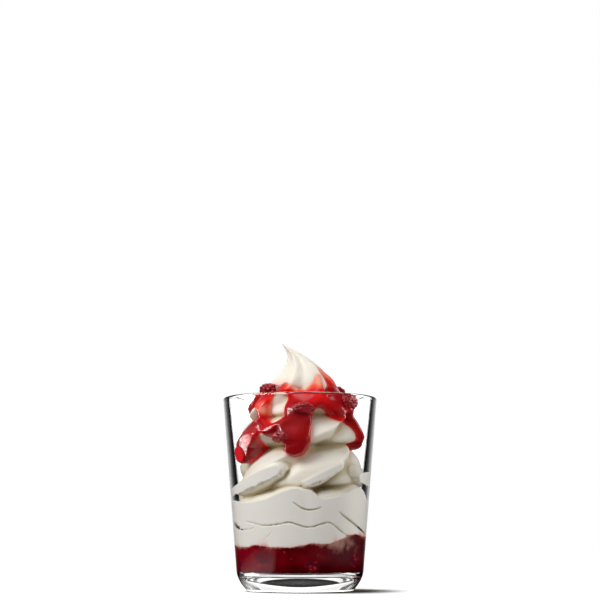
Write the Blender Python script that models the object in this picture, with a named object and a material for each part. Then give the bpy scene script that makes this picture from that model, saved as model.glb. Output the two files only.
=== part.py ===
"""A strawberry sundae in a tumbler, in metres, +Z up, the origin under the middle of the foot.

The tumbler is turned. A layer of berry sauce fills its bottom, soft serve is swirled in above it up to a
curled peak over the rim, and more sauce runs down the swirl, with berries lying in it. A bearing is an angle
round the upright axis: 0 faces -Y, where the sundae's front is, and it grows towards +X.
"""

import math

import bmesh
import bpy
import numpy as np

MM = 0.001
GAP = 0.3 * MM
WELD = 0.01 * MM
SHARP_ANGLE = math.radians(50)

# The tumbler
GLASS_HEIGHT = 102.0 * MM
RIM_RADIUS = 41.1 * MM
OUTER_TAPER = 0.0815
WALL_AT_RIM = 3.0 * MM
INNER_TAPER = 0.107
HEEL_RADIUS = 8.6 * MM
PUNT_RADIUS = 19.5 * MM
PUNT_DEPTH = 1.8 * MM
PUNT_BEND = (0.6, 0.72)
FLOOR_HEIGHT = 8.5 * MM
FLOOR_CORNER = 6.0 * MM
GLASS_STEPS = 44

# The food's grids
COLUMNS = 52
COIL_START = 36.0 * MM
ROW_STEP = 2.6 * MM
PEAK_START = 104.0 * MM
PEAK_ROWS = 12
PEAK_CROWDING = 1.25
# Where the two layers meet: rings inside the wall, as shares of its radius, and rows up to the level ones
INNER_RINGS = (0.35, 0.7)
FOOT_ROWS = 3

# The layer of sauce at the bottom: its level at the wall, then swells of it as bearing, half width and rise
LAYER_LEVEL = 22.8 * MM
LAYER_MIDDLE = 26.0 * MM
LAYER_SWELLS = (
    (60, 28, 6.6 * MM),
    (100, 20, 4.6 * MM),
    (-45, 11, 1.2 * MM),
    (11, 12, 1.5 * MM),
    (-96, 13, 1.6 * MM),
    (158, 26, 3.4 * MM),
    (215, 20, -1.4 * MM),
)

# The soft serve: the belly of the coil as height and radius, from the packed bottom to the tip of the peak
BELLY = np.array(
    [
        (0, 37.0),
        (48, 37.0),
        (55, 36.0),
        (60, 34.7),
        (68, 34.4),
        (76, 33.4),
        (82, 32.6),
        (88, 31.2),
        (94, 29.2),
        (99, 26.6),
        (103, 23.4),
        (107, 19.6),
        (112, 16.2),
        (116.6, 12.3),
        (119.4, 9.6),
        (122.3, 7.0),
        (125.6, 4.3),
        (128.4, 2.2),
        (130.2, 0.9),
        (131.2, 0.0),
    ]
) * MM
PEAK_HEIGHT = BELLY[-1, 0]
# The creases between turns of the coil, as height at the front and depth
CREASES = np.array([(12, 2.0), (35.5, 3.0), (53, 6.5), (75.3, 8.0), (91, 5.5), (104.5, 2.6), (118, 0.0)]) * MM
CREASE_SAG = 0.85
FRONT_FLATTENING = 0.7
# The ridges that the nozzle leaves run up the swirl and round it
RIDGES = 6
RIDGE_DEPTH = 5.2 * MM
RIDGE_SHARE_OF_BELLY = 0.25
RIDGE_TWIST = math.radians(3.05) / MM
RIDGE_AT_PEAK = math.radians(40)
TWIST_ENDS = 107.0 * MM
CREST_SHARPNESS = 0.12
RIDGE_LEAN = 0.5
# Long waves make the swirl uneven: each one's share, waves round the turn, lean per mm of height and phase
WAVES = ((0.5, 2, 0.11, 0.8), (0.3, 5, -0.23, 2.1), (0.2, 9, 0.37, 4.0))
WAVE_HEIGHT = 0.9 * MM
WAVE_SHARE_OF_BELLY = 0.05
THINNEST_RADIUS = 0.25 * MM
# The middle of a level slice, as height and distance to the right of the axis: the peak curls to the left
SLICE_MIDDLES = np.array(
    [
        (0, 0.0),
        (95, 0.0),
        (106, 1.0),
        (112, 1.7),
        (118, 1.4),
        (122.3, -0.4),
        (125.6, -2.9),
        (128.4, -6.0),
        (131.2, -9.6),
    ]
) * MM

# The sauce on top. A run is a list of bearing, height and half width, down the coil
CAP_TOP = 109.5 * MM
CAP_TOP_SWELLS = (
    (80, 22, 9.5 * MM),
    (5, 17, -3.6 * MM),
    (-70, 16, -1.0 * MM),
    (200, 30, 3.5 * MM),
)
CAP_EDGE = 95.5 * MM
CAP_EDGE_SWELLS = (
    (-30, 16, -21.5 * MM),
    (-82, 16, 7.0 * MM),
    (21, 12, -0.8 * MM),
    (150, 30, -4.0 * MM),
    (235, 24, -5.0 * MM),
)
RUNS = (
    ((-46, 101, 5.0), (-47, 90, 5.6), (-56, 80, 6.4), (-60, 73, 7.2)),
    ((0, 96, 8.6), (-7, 87, 9.6), (-4, 76.6, 7.6)),
    ((38, 99, 6.0), (45, 92.6, 5.2)),
    ((66, 98, 5.6), (74, 88, 4.6), (80, 81, 4.4), (81, 77.5, 4.6)),
    ((108, 97, 6.0), (112, 88, 5.0)),
    ((134, 96, 6.5), (141, 86, 5.8), (146, 76.5, 5.4)),
    ((172, 98, 6.0), (176, 90, 5.2)),
    ((198, 96, 6.5), (206, 87, 5.6), (210, 82, 5.2)),
    ((228, 96, 7.0), (237, 84, 6.2), (243, 74, 6.0)),
)
WINDOW = ((-29, 91.4, 4.8), (-28, 98.8, 4.0))
RUN_BLEND = 3.0 * MM
WINDOW_BLEND = 1.5 * MM
BEAD_WIDTH = 3.2 * MM
EDGE_THICKNESS = 0.8 * MM
LEAST_THICKNESS = 0.3 * MM
# The sauce's thickness in the middle: near the peak, lower down, and where it gathers in drops
COAT_HEIGHTS = np.array([76, 84, 88, 108]) * MM
COAT_THICKNESSES = np.array([3.7, 2.4, 2.4, 1.2]) * MM
CREST_COAT = 0.6
# How much of the swirl's relief is left on the thick sauce over it, and how far its crests are rubbed down
BED_RELIEF = 0.3
BED_RUB = 1.2 * MM
COAT_BLEND = 1.5 * MM
SAUCE_BOTTOM = 64.0 * MM
EDGE_SNAP = 0.05 * MM
SEAM_REACH = 1e-5

# The berries: bearing, height, half size along the swirl, up it and outwards, and how far out the middle lies
BERRIES = (
    (-64, 105.4, 6.2, 4.4, 4.0, 1.7),
    (3, 94.0, 6.2, 4.0, 3.6, 1.3),
    (-16.5, 79.4, 4.4, 3.8, 3.2, 1.0),
    (66, 98.4, 6.0, 4.6, 4.0, 2.0),
    (112, 104.8, 4.6, 5.2, 4.2, 2.2),
    (188, 101.5, 5.6, 4.6, 4.0, 1.9),
    (-122, 96.5, 5.0, 4.4, 3.8, 1.7),
)
DRUPELET_SWELL = 0.24
NEAREST_HOLLOW = 0.84
POCKET_ROOM = 1.0 * MM
SLOPE_REACH = 2.0 * MM

COLOURS = {
    "glass": ((0.92, 0.95, 0.95, 1.0), 0.03),
    "soft_serve": ((0.90, 0.86, 0.77, 1.0), 0.45),
    "sauce": ((0.55, 0.01, 0.03, 1.0), 0.12),
    "berry": ((0.28, 0.01, 0.04, 1.0), 0.2),
}


def clear_scene():
    for obj in list(bpy.data.objects):
        bpy.data.objects.remove(obj)


def material(name):
    found = bpy.data.materials.get(name)
    if found:
        return found
    colour, roughness = COLOURS[name]
    made = bpy.data.materials.new(name)
    made.use_nodes = True
    shader = made.node_tree.nodes["Principled BSDF"]
    shader.inputs["Base Color"].default_value = colour
    shader.inputs["Roughness"].default_value = roughness
    shader.inputs["Metallic"].default_value = 0.0
    shader.inputs["Transmission Weight"].default_value = 1.0 if name == "glass" else 0.0
    made.diffuse_color = colour
    return made


def object_from(name, mesh, finish):
    mesh.materials.append(material(finish))
    mesh.shade_smooth()
    mesh.set_sharp_from_angle(angle=SHARP_ANGLE)
    obj = bpy.data.objects.new(name, mesh)
    bpy.context.scene.collection.objects.link(obj)
    return obj


def guide(obj):
    """A cutter: it shapes its neighbours and is no part of the sundae."""
    obj.hide_render = True
    obj.display_type = "WIRE"
    return obj


def cut(obj, cutter):
    modifier = obj.modifiers.new("cut_" + cutter.name, "BOOLEAN")
    modifier.operation = "DIFFERENCE"
    modifier.object = cutter


def wrapped(angle):
    """The same angle, from minus half a turn to half a turn."""
    return (angle + math.pi) % (2 * math.pi) - math.pi


def swells(bearing, table):
    """A sum of round swells, each at its bearing with its half width and rise."""
    total = 0.0
    for centre, width, rise in table:
        away = wrapped(bearing - math.radians(centre)) / math.radians(width)
        total = total + rise * np.exp(-(away**2))
    return total


def smooth_max(a, b, blend):
    """The larger of two values, with a fillet where they are within the blend of each other."""
    share = np.clip(0.5 + 0.5 * (a - b) / blend, 0, 1)
    return b + (a - b) * share + blend * share * (1 - share)


def arc(centre, radius, start, end, steps):
    """Points of a profile, as radius and height, along an arc from start to end in degrees."""
    return [
        (
            centre[0] + radius * math.cos(math.radians(start + (end - start) * i / steps)),
            centre[1] + radius * math.sin(math.radians(start + (end - start) * i / steps)),
        )
        for i in range(steps + 1)
    ]


def outer_wall(z):
    return RIM_RADIUS - OUTER_TAPER * (GLASS_HEIGHT - z)


def inner_wall(z):
    """The radius of the glass's inside, with its round corner down to the floor."""
    straight = RIM_RADIUS - WALL_AT_RIM - INNER_TAPER * (GLASS_HEIGHT - z)
    below = np.clip((FLOOR_HEIGHT + FLOOR_CORNER - z) / FLOOR_CORNER, 0, 1)
    return straight - FLOOR_CORNER * (1 - np.sqrt(1 - below**2))


def tumbler():
    """The glass, spun from a profile that runs from under its middle, round the wall, to its inside floor."""
    heel_centre = (outer_wall(HEEL_RADIUS) - HEEL_RADIUS, HEEL_RADIUS)
    rim_bead = WALL_AT_RIM / 2
    corner_radius = inner_wall(FLOOR_HEIGHT + FLOOR_CORNER) - FLOOR_CORNER
    profile = [
        (0, PUNT_DEPTH),
        (PUNT_RADIUS * PUNT_BEND[0], PUNT_DEPTH * PUNT_BEND[1]),
        (PUNT_RADIUS, 0.0),
        *arc(heel_centre, HEEL_RADIUS, -90, 0, 4),
        *arc((RIM_RADIUS - rim_bead, GLASS_HEIGHT - rim_bead), rim_bead, 0, 180, 4),
        *arc((corner_radius, FLOOR_HEIGHT + FLOOR_CORNER), FLOOR_CORNER, 0, -90, 3),
        (0, FLOOR_HEIGHT),
    ]
    shape = bmesh.new()
    points = [shape.verts.new((radius, 0, height)) for radius, height in profile]
    edges = [shape.edges.new(pair) for pair in zip(points, points[1:])]
    bmesh.ops.spin(
        shape, geom=points + edges, cent=(0, 0, 0), axis=(0, 0, 1), angle=2 * math.pi, steps=GLASS_STEPS
    )
    bmesh.ops.remove_doubles(shape, verts=shape.verts, dist=WELD)
    bmesh.ops.recalc_face_normals(shape, faces=shape.faces)
    mesh = bpy.data.meshes.new("tumbler")
    shape.to_mesh(mesh)
    shape.free()
    return object_from("tumbler", mesh, "glass")


def column_bearings():
    return np.linspace(-math.pi, math.pi, COLUMNS, endpoint=False)


def slice_middle(z):
    return np.interp(z, SLICE_MIDDLES[:, 0], SLICE_MIDDLES[:, 1])


def around(bearing, radius, z):
    """Points at a radius and height, on the slice's own middle."""
    bearing, radius, z = np.broadcast_arrays(bearing, radius, z)
    middle = slice_middle(z)
    return np.stack([middle + radius * np.sin(bearing), -radius * np.cos(bearing), z], axis=-1)


def layer_level(bearing, share):
    """The height where sauce meets soft serve, from the middle (share 0) to the wall (share 1)."""
    at_wall = LAYER_LEVEL + swells(bearing, LAYER_SWELLS)
    return LAYER_MIDDLE + (at_wall - LAYER_MIDDLE) * share**2


def closed_skin(name, rings, first, last, finish):
    """A closed body from rings of points, each joined to the next by triangles that all lean the same way,
    with a fan of triangles at each end."""
    rows, columns = rings.shape[:2]
    points = [first, *rings.reshape(-1, 3), last]
    faces = []
    for j in range(columns):
        right = (j + 1) % columns
        faces.append((0, 1 + right, 1 + j))
        for i in range(rows - 1):
            a, b = 1 + i * columns + j, 1 + i * columns + right
            c, d = b + columns, a + columns
            faces += [(a, b, c), (a, c, d)]
        top = 1 + (rows - 1) * columns
        faces.append((top + j, top + right, len(points) - 1))
    mesh = bpy.data.meshes.new(name)
    mesh.from_pydata([tuple(p) for p in points], [], faces)
    return object_from(name, mesh, finish)


def berry_sauce_layer():
    """The sauce in the bottom of the glass, up to its uneven level under the soft serve."""
    bearing = column_bearings()
    floor = FLOOR_HEIGHT + GAP
    corner_middle = floor + FLOOR_CORNER * (1 - math.cos(math.radians(45)))
    rings = [around(bearing, (inner_wall(floor) - GAP) / 2, floor)]
    for z in (floor, corner_middle, FLOOR_HEIGHT + FLOOR_CORNER):
        rings.append(around(bearing, inner_wall(z) - GAP, z))
    for share in (1.0, *reversed(INNER_RINGS)):
        level = layer_level(bearing, share)
        rings.append(around(bearing, share * (inner_wall(level) - GAP), level))
    middles = (0, 0, floor), (0, 0, LAYER_MIDDLE)
    return closed_skin("berry_sauce_layer", np.array(rings), *middles, "sauce")


def turn_of(bearing):
    """How far round the coil a bearing is, in turns. It climbs slowly at the front and faster at the back."""
    return (bearing - FRONT_FLATTENING * np.sin(bearing)) / (2 * math.pi)


def crease_share(bearing, z):
    """1 in a crease between two turns of the coil, and 0 at the belly of a turn."""
    climbed = np.interp(z, CREASES[:, 0], np.arange(len(CREASES))) - turn_of(bearing)
    within = (climbed % 1.0) ** CREASE_SAG
    return 1 - np.sqrt(np.sin(math.pi * within))


def ridge_share(bearing, z):
    """0 on the crest of a ridge that the nozzle leaves, and 1 in the hollow beside it."""
    crest = RIDGE_AT_PEAK - RIDGE_TWIST * np.clip(TWIST_ENDS - z, 0, None)
    phase = RIDGES * (bearing - crest)
    leaning = phase + RIDGE_LEAN * (1 - np.cos(phase))
    blunt = CREST_SHARPNESS**2
    return np.sqrt((np.sin(leaning / 2) ** 2 + blunt) / (1 + blunt))


def wander(bearing, z):
    """The unevenness of a swirl made by hand, from -1 to 1."""
    return sum(
        share * np.sin(count * bearing + lean * z / MM + phase) for share, count, lean, phase in WAVES
    )


def swirl_radius(bearing, z, relief=1.0):
    """The soft serve's radius: its belly, less the creases between turns and the hollows between ridges. A
    relief under 1 gives the softened form that thick sauce takes over it."""
    belly = np.interp(z, BELLY[:, 0], BELLY[:, 1])
    crease = np.interp(z, CREASES[:, 0], CREASES[:, 1]) * crease_share(bearing, z)
    hollow = np.minimum(RIDGE_DEPTH, RIDGE_SHARE_OF_BELLY * belly) * ridge_share(bearing, z)
    uneven = np.minimum(WAVE_HEIGHT, WAVE_SHARE_OF_BELLY * belly) * wander(bearing, z)
    wanted = belly - relief * (crease + hollow) + uneven - (1 - relief) * BED_RUB
    return np.clip(np.minimum(wanted, inner_wall(z) - GAP), THINNEST_RADIUS, None)


def swirl_heights():
    """The heights of the level rows, above the packed soft serve at the bottom."""
    coil = np.arange(COIL_START, PEAK_START, ROW_STEP)
    share = np.linspace(0, 1, PEAK_ROWS)
    peak = PEAK_START + (PEAK_HEIGHT - PEAK_START) * (1 - (1 - share) ** PEAK_CROWDING)
    return np.concatenate([coil, peak[:-1]])


def soft_serve(name="soft_serve", outwards=0.0):
    """The soft serve in one piece, from the sauce it lies on to its peak. Outwards makes a larger copy."""
    bearing = column_bearings()
    rings = []
    for share in INNER_RINGS:
        level = layer_level(bearing, share) + GAP
        rings.append(around(bearing, share * (inner_wall(level) - GAP), level))
    foot = layer_level(bearing, 1.0) + GAP
    heights = swirl_heights()
    for step in range(FOOT_ROWS):
        z = foot + (heights[0] - foot) * step / FOOT_ROWS
        rings.append(around(bearing, swirl_radius(bearing, z), z))
    for z in heights:
        rings.append(around(bearing, swirl_radius(bearing, z) + outwards, z))
    tip = around(0.0, 0.0, PEAK_HEIGHT + outwards)
    return closed_skin(name, np.array(rings), (0, 0, LAYER_MIDDLE + GAP), tip, "soft_serve")


def run_depth(points, run):
    """How far each point lies inside a run of sauce, a chain of round-ended strokes along the coil."""
    stations = np.array([[math.radians(b), z * MM, w * MM] for b, z, w in run])
    bed = swirl_radius(stations[:, 0], stations[:, 1], BED_RELIEF)
    centres = around(stations[:, 0], bed, stations[:, 1])
    best = np.full(points.shape[:-1], -1.0)
    for start, end, width, next_width in zip(centres, centres[1:], stations[:, 2], stations[1:, 2]):
        along = end - start
        share = np.clip(((points - start) @ along) / (along @ along), 0, 1)
        nearest = start + share[..., None] * along
        depth = width + (next_width - width) * share - np.linalg.norm(points - nearest, axis=-1)
        best = np.maximum(best, depth)
    return best


def sauce_depth(bearing, z):
    """How far inside the poured sauce a place on the swirl lies, in metres, and negative outside it."""
    points = around(bearing, swirl_radius(bearing, z, BED_RELIEF), z)
    top = CAP_TOP + swells(bearing, CAP_TOP_SWELLS) - z
    edge = z - CAP_EDGE - swells(bearing, CAP_EDGE_SWELLS)
    depth = np.minimum(top, edge)
    for run in RUNS:
        depth = smooth_max(depth, run_depth(points, run), RUN_BLEND)
    return -smooth_max(-depth, run_depth(points, WINDOW), WINDOW_BLEND)


def sauce_radius(bearing, z, seat, depth):
    """The radius of the sauce's outer face over its seat on the soft serve. A round bead runs along its edge,
    and inside that the coat fills the creases and lies thin over the crests."""
    share = np.clip(depth / BEAD_WIDTH, 0, 1)
    bead = np.sqrt(1 - (1 - share) ** 2)
    coat = EDGE_THICKNESS + (np.interp(z, COAT_HEIGHTS, COAT_THICKNESSES) - EDGE_THICKNESS) * bead
    bed = swirl_radius(bearing, z, BED_RELIEF)
    full = smooth_max(seat + CREST_COAT * coat, bed + coat, COAT_BLEND)
    wanted = (1 - share) * (seat + EDGE_THICKNESS) + share * full + GAP
    return np.clip(wanted, seat + GAP + LEAST_THICKNESS, inner_wall(z) - GAP)


def sauce_sheet():
    """The swirl's grid unrolled, as bearing, height and depth inside the sauce, with all that has no sauce
    over it cut away. The layer called seat keeps where each point lies on the soft serve."""
    bearing = np.append(column_bearings(), math.pi)
    heights = swirl_heights()
    heights = heights[heights > SAUCE_BOTTOM]
    across, up = np.meshgrid(bearing, heights)
    seats = around(across, swirl_radius(across, up), up)
    depth = sauce_depth(across, up)
    sheet = bmesh.new()
    seat = sheet.verts.layers.float_vector.new("seat")
    points = []
    for i in range(len(heights)):
        for j in range(len(bearing)):
            point = sheet.verts.new((across[i, j], up[i, j], depth[i, j]))
            point[seat] = seats[i, j]
            points.append(point)
    for i in range(len(heights) - 1):
        for j in range(len(bearing) - 1):
            a, b = points[i * len(bearing) + j], points[i * len(bearing) + j + 1]
            c, d = points[(i + 1) * len(bearing) + j + 1], points[(i + 1) * len(bearing) + j]
            sheet.faces.new((a, b, c))
            sheet.faces.new((a, c, d))
    bmesh.ops.bisect_plane(
        sheet,
        geom=sheet.verts[:] + sheet.edges[:] + sheet.faces[:],
        dist=EDGE_SNAP,
        plane_co=(0, 0, 0),
        plane_no=(0, 0, 1),
        clear_inner=True,
    )
    return sheet, seat


def at_seam(edge):
    """Whether an edge lies on the back of the swirl, where the unrolled sheet's two ends meet."""
    return all(math.isclose(abs(v.co.x), math.pi, abs_tol=SEAM_REACH) for v in edge.verts)


def berry_sauce_top():
    """The poured sauce: the sheet rolled up again on the swirl and given its thickness."""
    sheet, seat = sauce_sheet()
    sheet.verts.index_update()
    unrolled = np.array([v.co[:] for v in sheet.verts])
    seats = np.array([v[seat][:] for v in sheet.verts])
    skin = [tuple(v.index for v in face.verts) for face in sheet.faces]
    rims = [edge.link_loops[0] for edge in sheet.edges if edge.is_boundary and not at_seam(edge)]
    walls = [(loop.link_loop_next.vert.index, loop.vert.index) for loop in rims]
    sheet.free()

    bearing, z, depth = unrolled.T
    outwards = np.stack([np.sin(bearing), -np.cos(bearing), np.zeros_like(bearing)], axis=-1)
    seat_radius = np.hypot(seats[:, 0] - slice_middle(z), seats[:, 1])
    thickness = sauce_radius(bearing, z, seat_radius, depth) - seat_radius
    outer = seats + thickness[:, None] * outwards
    inner = seats + GAP * outwards
    count = len(outer)
    faces = list(skin)
    faces += [tuple(i + count for i in reversed(face)) for face in skin]
    faces += [(a, b, b + count, a + count) for a, b in walls]
    mesh = bpy.data.meshes.new("berry_sauce_top")
    mesh.from_pydata([tuple(p) for p in np.concatenate([outer, inner])], [], faces)
    welded = bmesh.new()
    welded.from_mesh(mesh)
    bmesh.ops.remove_doubles(welded, verts=welded.verts, dist=WELD)
    welded.to_mesh(mesh)
    welded.free()
    return object_from("berry_sauce_top", mesh, "sauce")


def drupelet_directions():
    """The middles of a berry's drupelets: the corners of an icosahedron, which its finer ball keeps."""
    ball = bmesh.new()
    bmesh.ops.create_icosphere(ball, subdivisions=1, radius=1.0)
    corners = np.array([v.co[:] for v in ball.verts])
    ball.free()
    return corners / np.linalg.norm(corners, axis=1, keepdims=True)


def berry(name, place, detail=3, room=0.0):
    """A berry made of drupelets, lying on the swirl. Detail is how fine its ball is, and room makes it larger
    on every side, for the pocket that it lies in."""
    bearing, z = math.radians(place[0]), place[1] * MM
    along, across, outwards, lift = (size * MM for size in place[2:])
    bed = swirl_radius(bearing, z, BED_RELIEF)
    slope = (swirl_radius(bearing, z + SLOPE_REACH, BED_RELIEF) - bed) / SLOPE_REACH
    centre = around(bearing, bed + lift, z)
    sideways = np.array([math.cos(bearing), math.sin(bearing), 0])
    upwards = np.array([slope * math.sin(bearing), -slope * math.cos(bearing), 1])
    upwards /= np.linalg.norm(upwards)
    facing = np.cross(sideways, upwards)
    shape = bmesh.new()
    bmesh.ops.create_icosphere(shape, subdivisions=detail, radius=1.0)
    directions = drupelet_directions()
    for vert in shape.verts:
        unit = np.array(vert.co)
        towards = (np.max(directions @ unit) - NEAREST_HOLLOW) / (1 - NEAREST_HOLLOW)
        swell = 1 + DRUPELET_SWELL * (math.sqrt(min(max(towards, 0), 1)) - 0.5)
        right, up, out = unit * (swell * np.array([along, across, outwards]) + room)
        vert.co = centre + right * sideways + up * upwards + out * facing
    bmesh.ops.recalc_face_normals(shape, faces=shape.faces)
    mesh = bpy.data.meshes.new(name)
    shape.to_mesh(mesh)
    shape.free()
    return object_from(name, mesh, "berry")


def main():
    clear_scene()
    tumbler()
    berry_sauce_layer()
    soft_serve()
    swirl_guide = guide(soft_serve("swirl_guide", GAP))
    sauce = berry_sauce_top()
    for number, place in enumerate(BERRIES, 1):
        cut(berry(f"berry_{number}", place), swirl_guide)
        cut(sauce, guide(berry(f"berry_{number}_pocket", place, detail=2, room=POCKET_ROOM)))


main()
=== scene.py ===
# %% [markdown]
# A soft serve sundae in its glass, dressed for a photograph.
#
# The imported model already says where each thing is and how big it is: the tumbler, the berry sauce at
# the bottom, the soft serve, the sauce poured over it and seven berries. This lesson gives each of them
# the fine surface and the finish that faceted solids can't have. Most pieces here are surfaces of
# revolution that somebody has pushed about: one angle round the middle, one height, and a formula for
# the radius. So nearly all the modelling is done with whole arrays of angles and heights.

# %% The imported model
import math

import bpy
import numpy as np
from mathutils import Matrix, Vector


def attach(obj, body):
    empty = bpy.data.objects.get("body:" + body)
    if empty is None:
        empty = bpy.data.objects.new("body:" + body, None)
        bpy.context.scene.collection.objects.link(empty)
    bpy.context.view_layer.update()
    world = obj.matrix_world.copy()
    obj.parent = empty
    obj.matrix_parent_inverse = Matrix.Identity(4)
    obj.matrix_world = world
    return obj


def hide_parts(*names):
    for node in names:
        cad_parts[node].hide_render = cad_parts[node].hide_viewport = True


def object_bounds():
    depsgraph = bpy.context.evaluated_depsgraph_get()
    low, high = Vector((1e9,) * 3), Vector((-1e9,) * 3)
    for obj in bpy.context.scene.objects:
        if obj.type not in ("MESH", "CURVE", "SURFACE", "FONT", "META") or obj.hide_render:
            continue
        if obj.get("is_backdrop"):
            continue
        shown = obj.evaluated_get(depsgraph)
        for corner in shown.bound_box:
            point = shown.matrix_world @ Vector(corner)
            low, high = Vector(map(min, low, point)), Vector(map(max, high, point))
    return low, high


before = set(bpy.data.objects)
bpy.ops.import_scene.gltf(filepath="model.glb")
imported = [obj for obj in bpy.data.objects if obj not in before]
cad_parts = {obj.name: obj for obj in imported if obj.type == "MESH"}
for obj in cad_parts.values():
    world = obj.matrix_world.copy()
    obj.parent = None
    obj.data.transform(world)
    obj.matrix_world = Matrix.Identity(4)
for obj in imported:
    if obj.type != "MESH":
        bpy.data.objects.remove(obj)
MM = 0.001
cad_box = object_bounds()
print("nodes:", ", ".join(sorted(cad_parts)))
print("the solids' box in mm:", [[round(value / MM, 1) for value in corner] for corner in cad_box])

# %% [markdown]
# The camera stands low, a little under the middle of the glass, and looks slightly up, so that the rim
# is seen from below and the base from above. A long lens keeps the sides of the glass nearly parallel.

# %% Camera
CAMERA_PLACE = (0.0, -0.858, 0.0315)
CAMERA_TILT = math.radians(8.2)
LENS_MM = 96.0
SENSOR_MM = 36.0


def add_camera():
    """A camera that looks along +Y and is tilted up about X."""
    data = bpy.data.cameras.new("camera")
    data.lens = LENS_MM
    data.sensor_width = SENSOR_MM
    data.clip_start = 0.01
    camera = bpy.data.objects.new("camera", data)
    camera.location = CAMERA_PLACE
    camera.rotation_euler = (math.pi / 2 + CAMERA_TILT, 0, 0)
    bpy.context.scene.collection.objects.link(camera)
    bpy.context.scene.camera = camera


add_camera()
print("camera", CAMERA_PLACE, "tilted up", round(math.degrees(CAMERA_TILT), 1), "degrees")

# %% [markdown]
# Materials are node trees. A few small helpers keep them short: one gives a node's sockets a value, a
# colour or another node's output, and the others add the nodes that every finish here needs.
#
# Colours are written as they look on a screen, from 0 to 255, and turned into the linear values that
# a renderer works with.

# %% Nodes and colours
BLACK = (0.0, 0.0, 0.0, 1.0)


def linear(red, green, blue):
    """A screen colour as linear light: (c/255 + 0.055) / 1.055 to the power 2.4, with alpha 1."""
    channels = [((value / 255 + 0.055) / 1.055) ** 2.4 if value > 10 else value / 255 / 12.92
                for value in (red, green, blue)]
    return (*channels, 1.0)


def set_inputs(tree, node, inputs):
    """Give a node's sockets, by name or number, a value or another node's output."""
    for key, value in inputs.items():
        if isinstance(value, bpy.types.NodeSocket):
            tree.links.new(value, node.inputs[key])
        else:
            node.inputs[key].default_value = value


def add_node(tree, kind, inputs=None, **settings):
    """A node of that kind, with its settings and what goes into its sockets."""
    made = tree.nodes.new(kind)
    for name, value in settings.items():
        setattr(made, name, value)
    set_inputs(tree, made, inputs or {})
    return made


def blend_colours(tree, share, first, second):
    """first where share is 0, second where it is 1. Each colour is a value or an output."""
    return add_node(tree, "ShaderNodeMix", {0: share, 6: first, 7: second}, data_type="RGBA").outputs[2]


def sums(tree, operation, first, second=0.0, clamp=False):
    """One step of arithmetic with one or two numbers or outputs."""
    return add_node(tree, "ShaderNodeMath", {0: first, 1: second}, operation=operation,
                    use_clamp=clamp).outputs[0]


def rescale(tree, value, from_low, from_high, to_low=0.0, to_high=1.0):
    """value moved from one range to another, and held inside it."""
    return add_node(tree, "ShaderNodeMapRange", {0: value, 1: from_low, 2: from_high, 3: to_low,
                                                 4: to_high}).outputs[0]


def painted(tree, name):
    """The number that the mesh carries at each vertex under that name."""
    return add_node(tree, "ShaderNodeAttribute", attribute_name=name).outputs["Fac"]


def object_place(tree):
    """The place on the object, in its own coordinates."""
    return add_node(tree, "ShaderNodeTexCoord").outputs["Object"]


def bumpy(tree, height, strength, distance):
    """A normal that leans as that height, from 0 to 1 over the distance, rises and falls."""
    return add_node(tree, "ShaderNodeBump", {"Strength": strength, "Distance": distance,
                                             "Height": height}).outputs["Normal"]


def either_shader(tree, share, first, second):
    """The first shader where share is 0, and the second where it is 1."""
    return add_node(tree, "ShaderNodeMixShader", {0: share, 1: first.outputs[0],
                                                  2: second.outputs[0]}).outputs[0]


def has_been(tree, way, more_than=0.5):
    """1 for a ray that has met something of that kind more often than that: Glossy things have mirrored
    it, Transmission things have let it through and Diffuse things have scattered it."""
    depth = add_node(tree, "ShaderNodeLightPath").outputs[f"{way} Depth"]
    return sums(tree, "GREATER_THAN", depth, more_than)


def new_material(name, viewport_colour):
    """A material with its tree and its Principled BSDF, which is joined to the output."""
    made = bpy.data.materials.new(name)
    made.use_nodes = True
    made.diffuse_color = viewport_colour
    tree = made.node_tree
    return made, tree, tree.nodes["Principled BSDF"]


# %% [markdown]
# Nothing in food is one even colour, so soft noise is in every finish here. It is built once, as a node
# group with named inputs, and each finish places it with its own scale and range.


# %% Mottle
def mottle_group():
    """Noise at Vector, with the range from Low to High stretched to 0 to 1 and held there."""
    group = bpy.data.node_groups.new("mottle", "ShaderNodeTree")
    sockets = {"Vector": "NodeSocketVector", "Scale": "NodeSocketFloat", "Detail": "NodeSocketFloat",
               "Low": "NodeSocketFloat", "High": "NodeSocketFloat"}
    for name, kind in sockets.items():
        group.interface.new_socket(name, in_out="INPUT", socket_type=kind)
    group.interface.new_socket("Share", in_out="OUTPUT", socket_type="NodeSocketFloat")
    given = group.nodes.new("NodeGroupInput").outputs
    to_noise = {name: given[name] for name in ("Vector", "Scale", "Detail")}
    noise = add_node(group, "ShaderNodeTexNoise", to_noise)
    share = rescale(group, noise.outputs["Fac"], given["Low"], given["High"])
    add_node(group, "NodeGroupOutput", {"Share": share})
    return group


MOTTLE = mottle_group()


def mottle(tree, scale, low=0.0, high=1.0, detail=2.0):
    """The mottle group placed in a material on its object's own coordinates."""
    inputs = {"Vector": object_place(tree), "Scale": scale, "Detail": detail, "Low": low, "High": high}
    return add_node(tree, "ShaderNodeGroup", inputs, node_tree=MOTTLE).outputs["Share"]


print("shared node group:", MOTTLE.name)

# %% [markdown]
# The studio is white behind the glass and dark beside it. The inside of a tumbler's wall turns light
# away to the side, up to some 37 degrees, so in such a studio the wall's edge is drawn in black, with a
# grey line outside it. Here the sky is white to a ray that has come straight or through the glass, and
# dark to a ray that a surface has mirrored, but for one soft grey panel behind. Seen through glass the
# white is brighter still, as an overexposed backdrop is, which makes up for what each surface loses.
# A ray that has scattered from something matt gets a soft light that is stronger from above and from
# the left.

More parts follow.
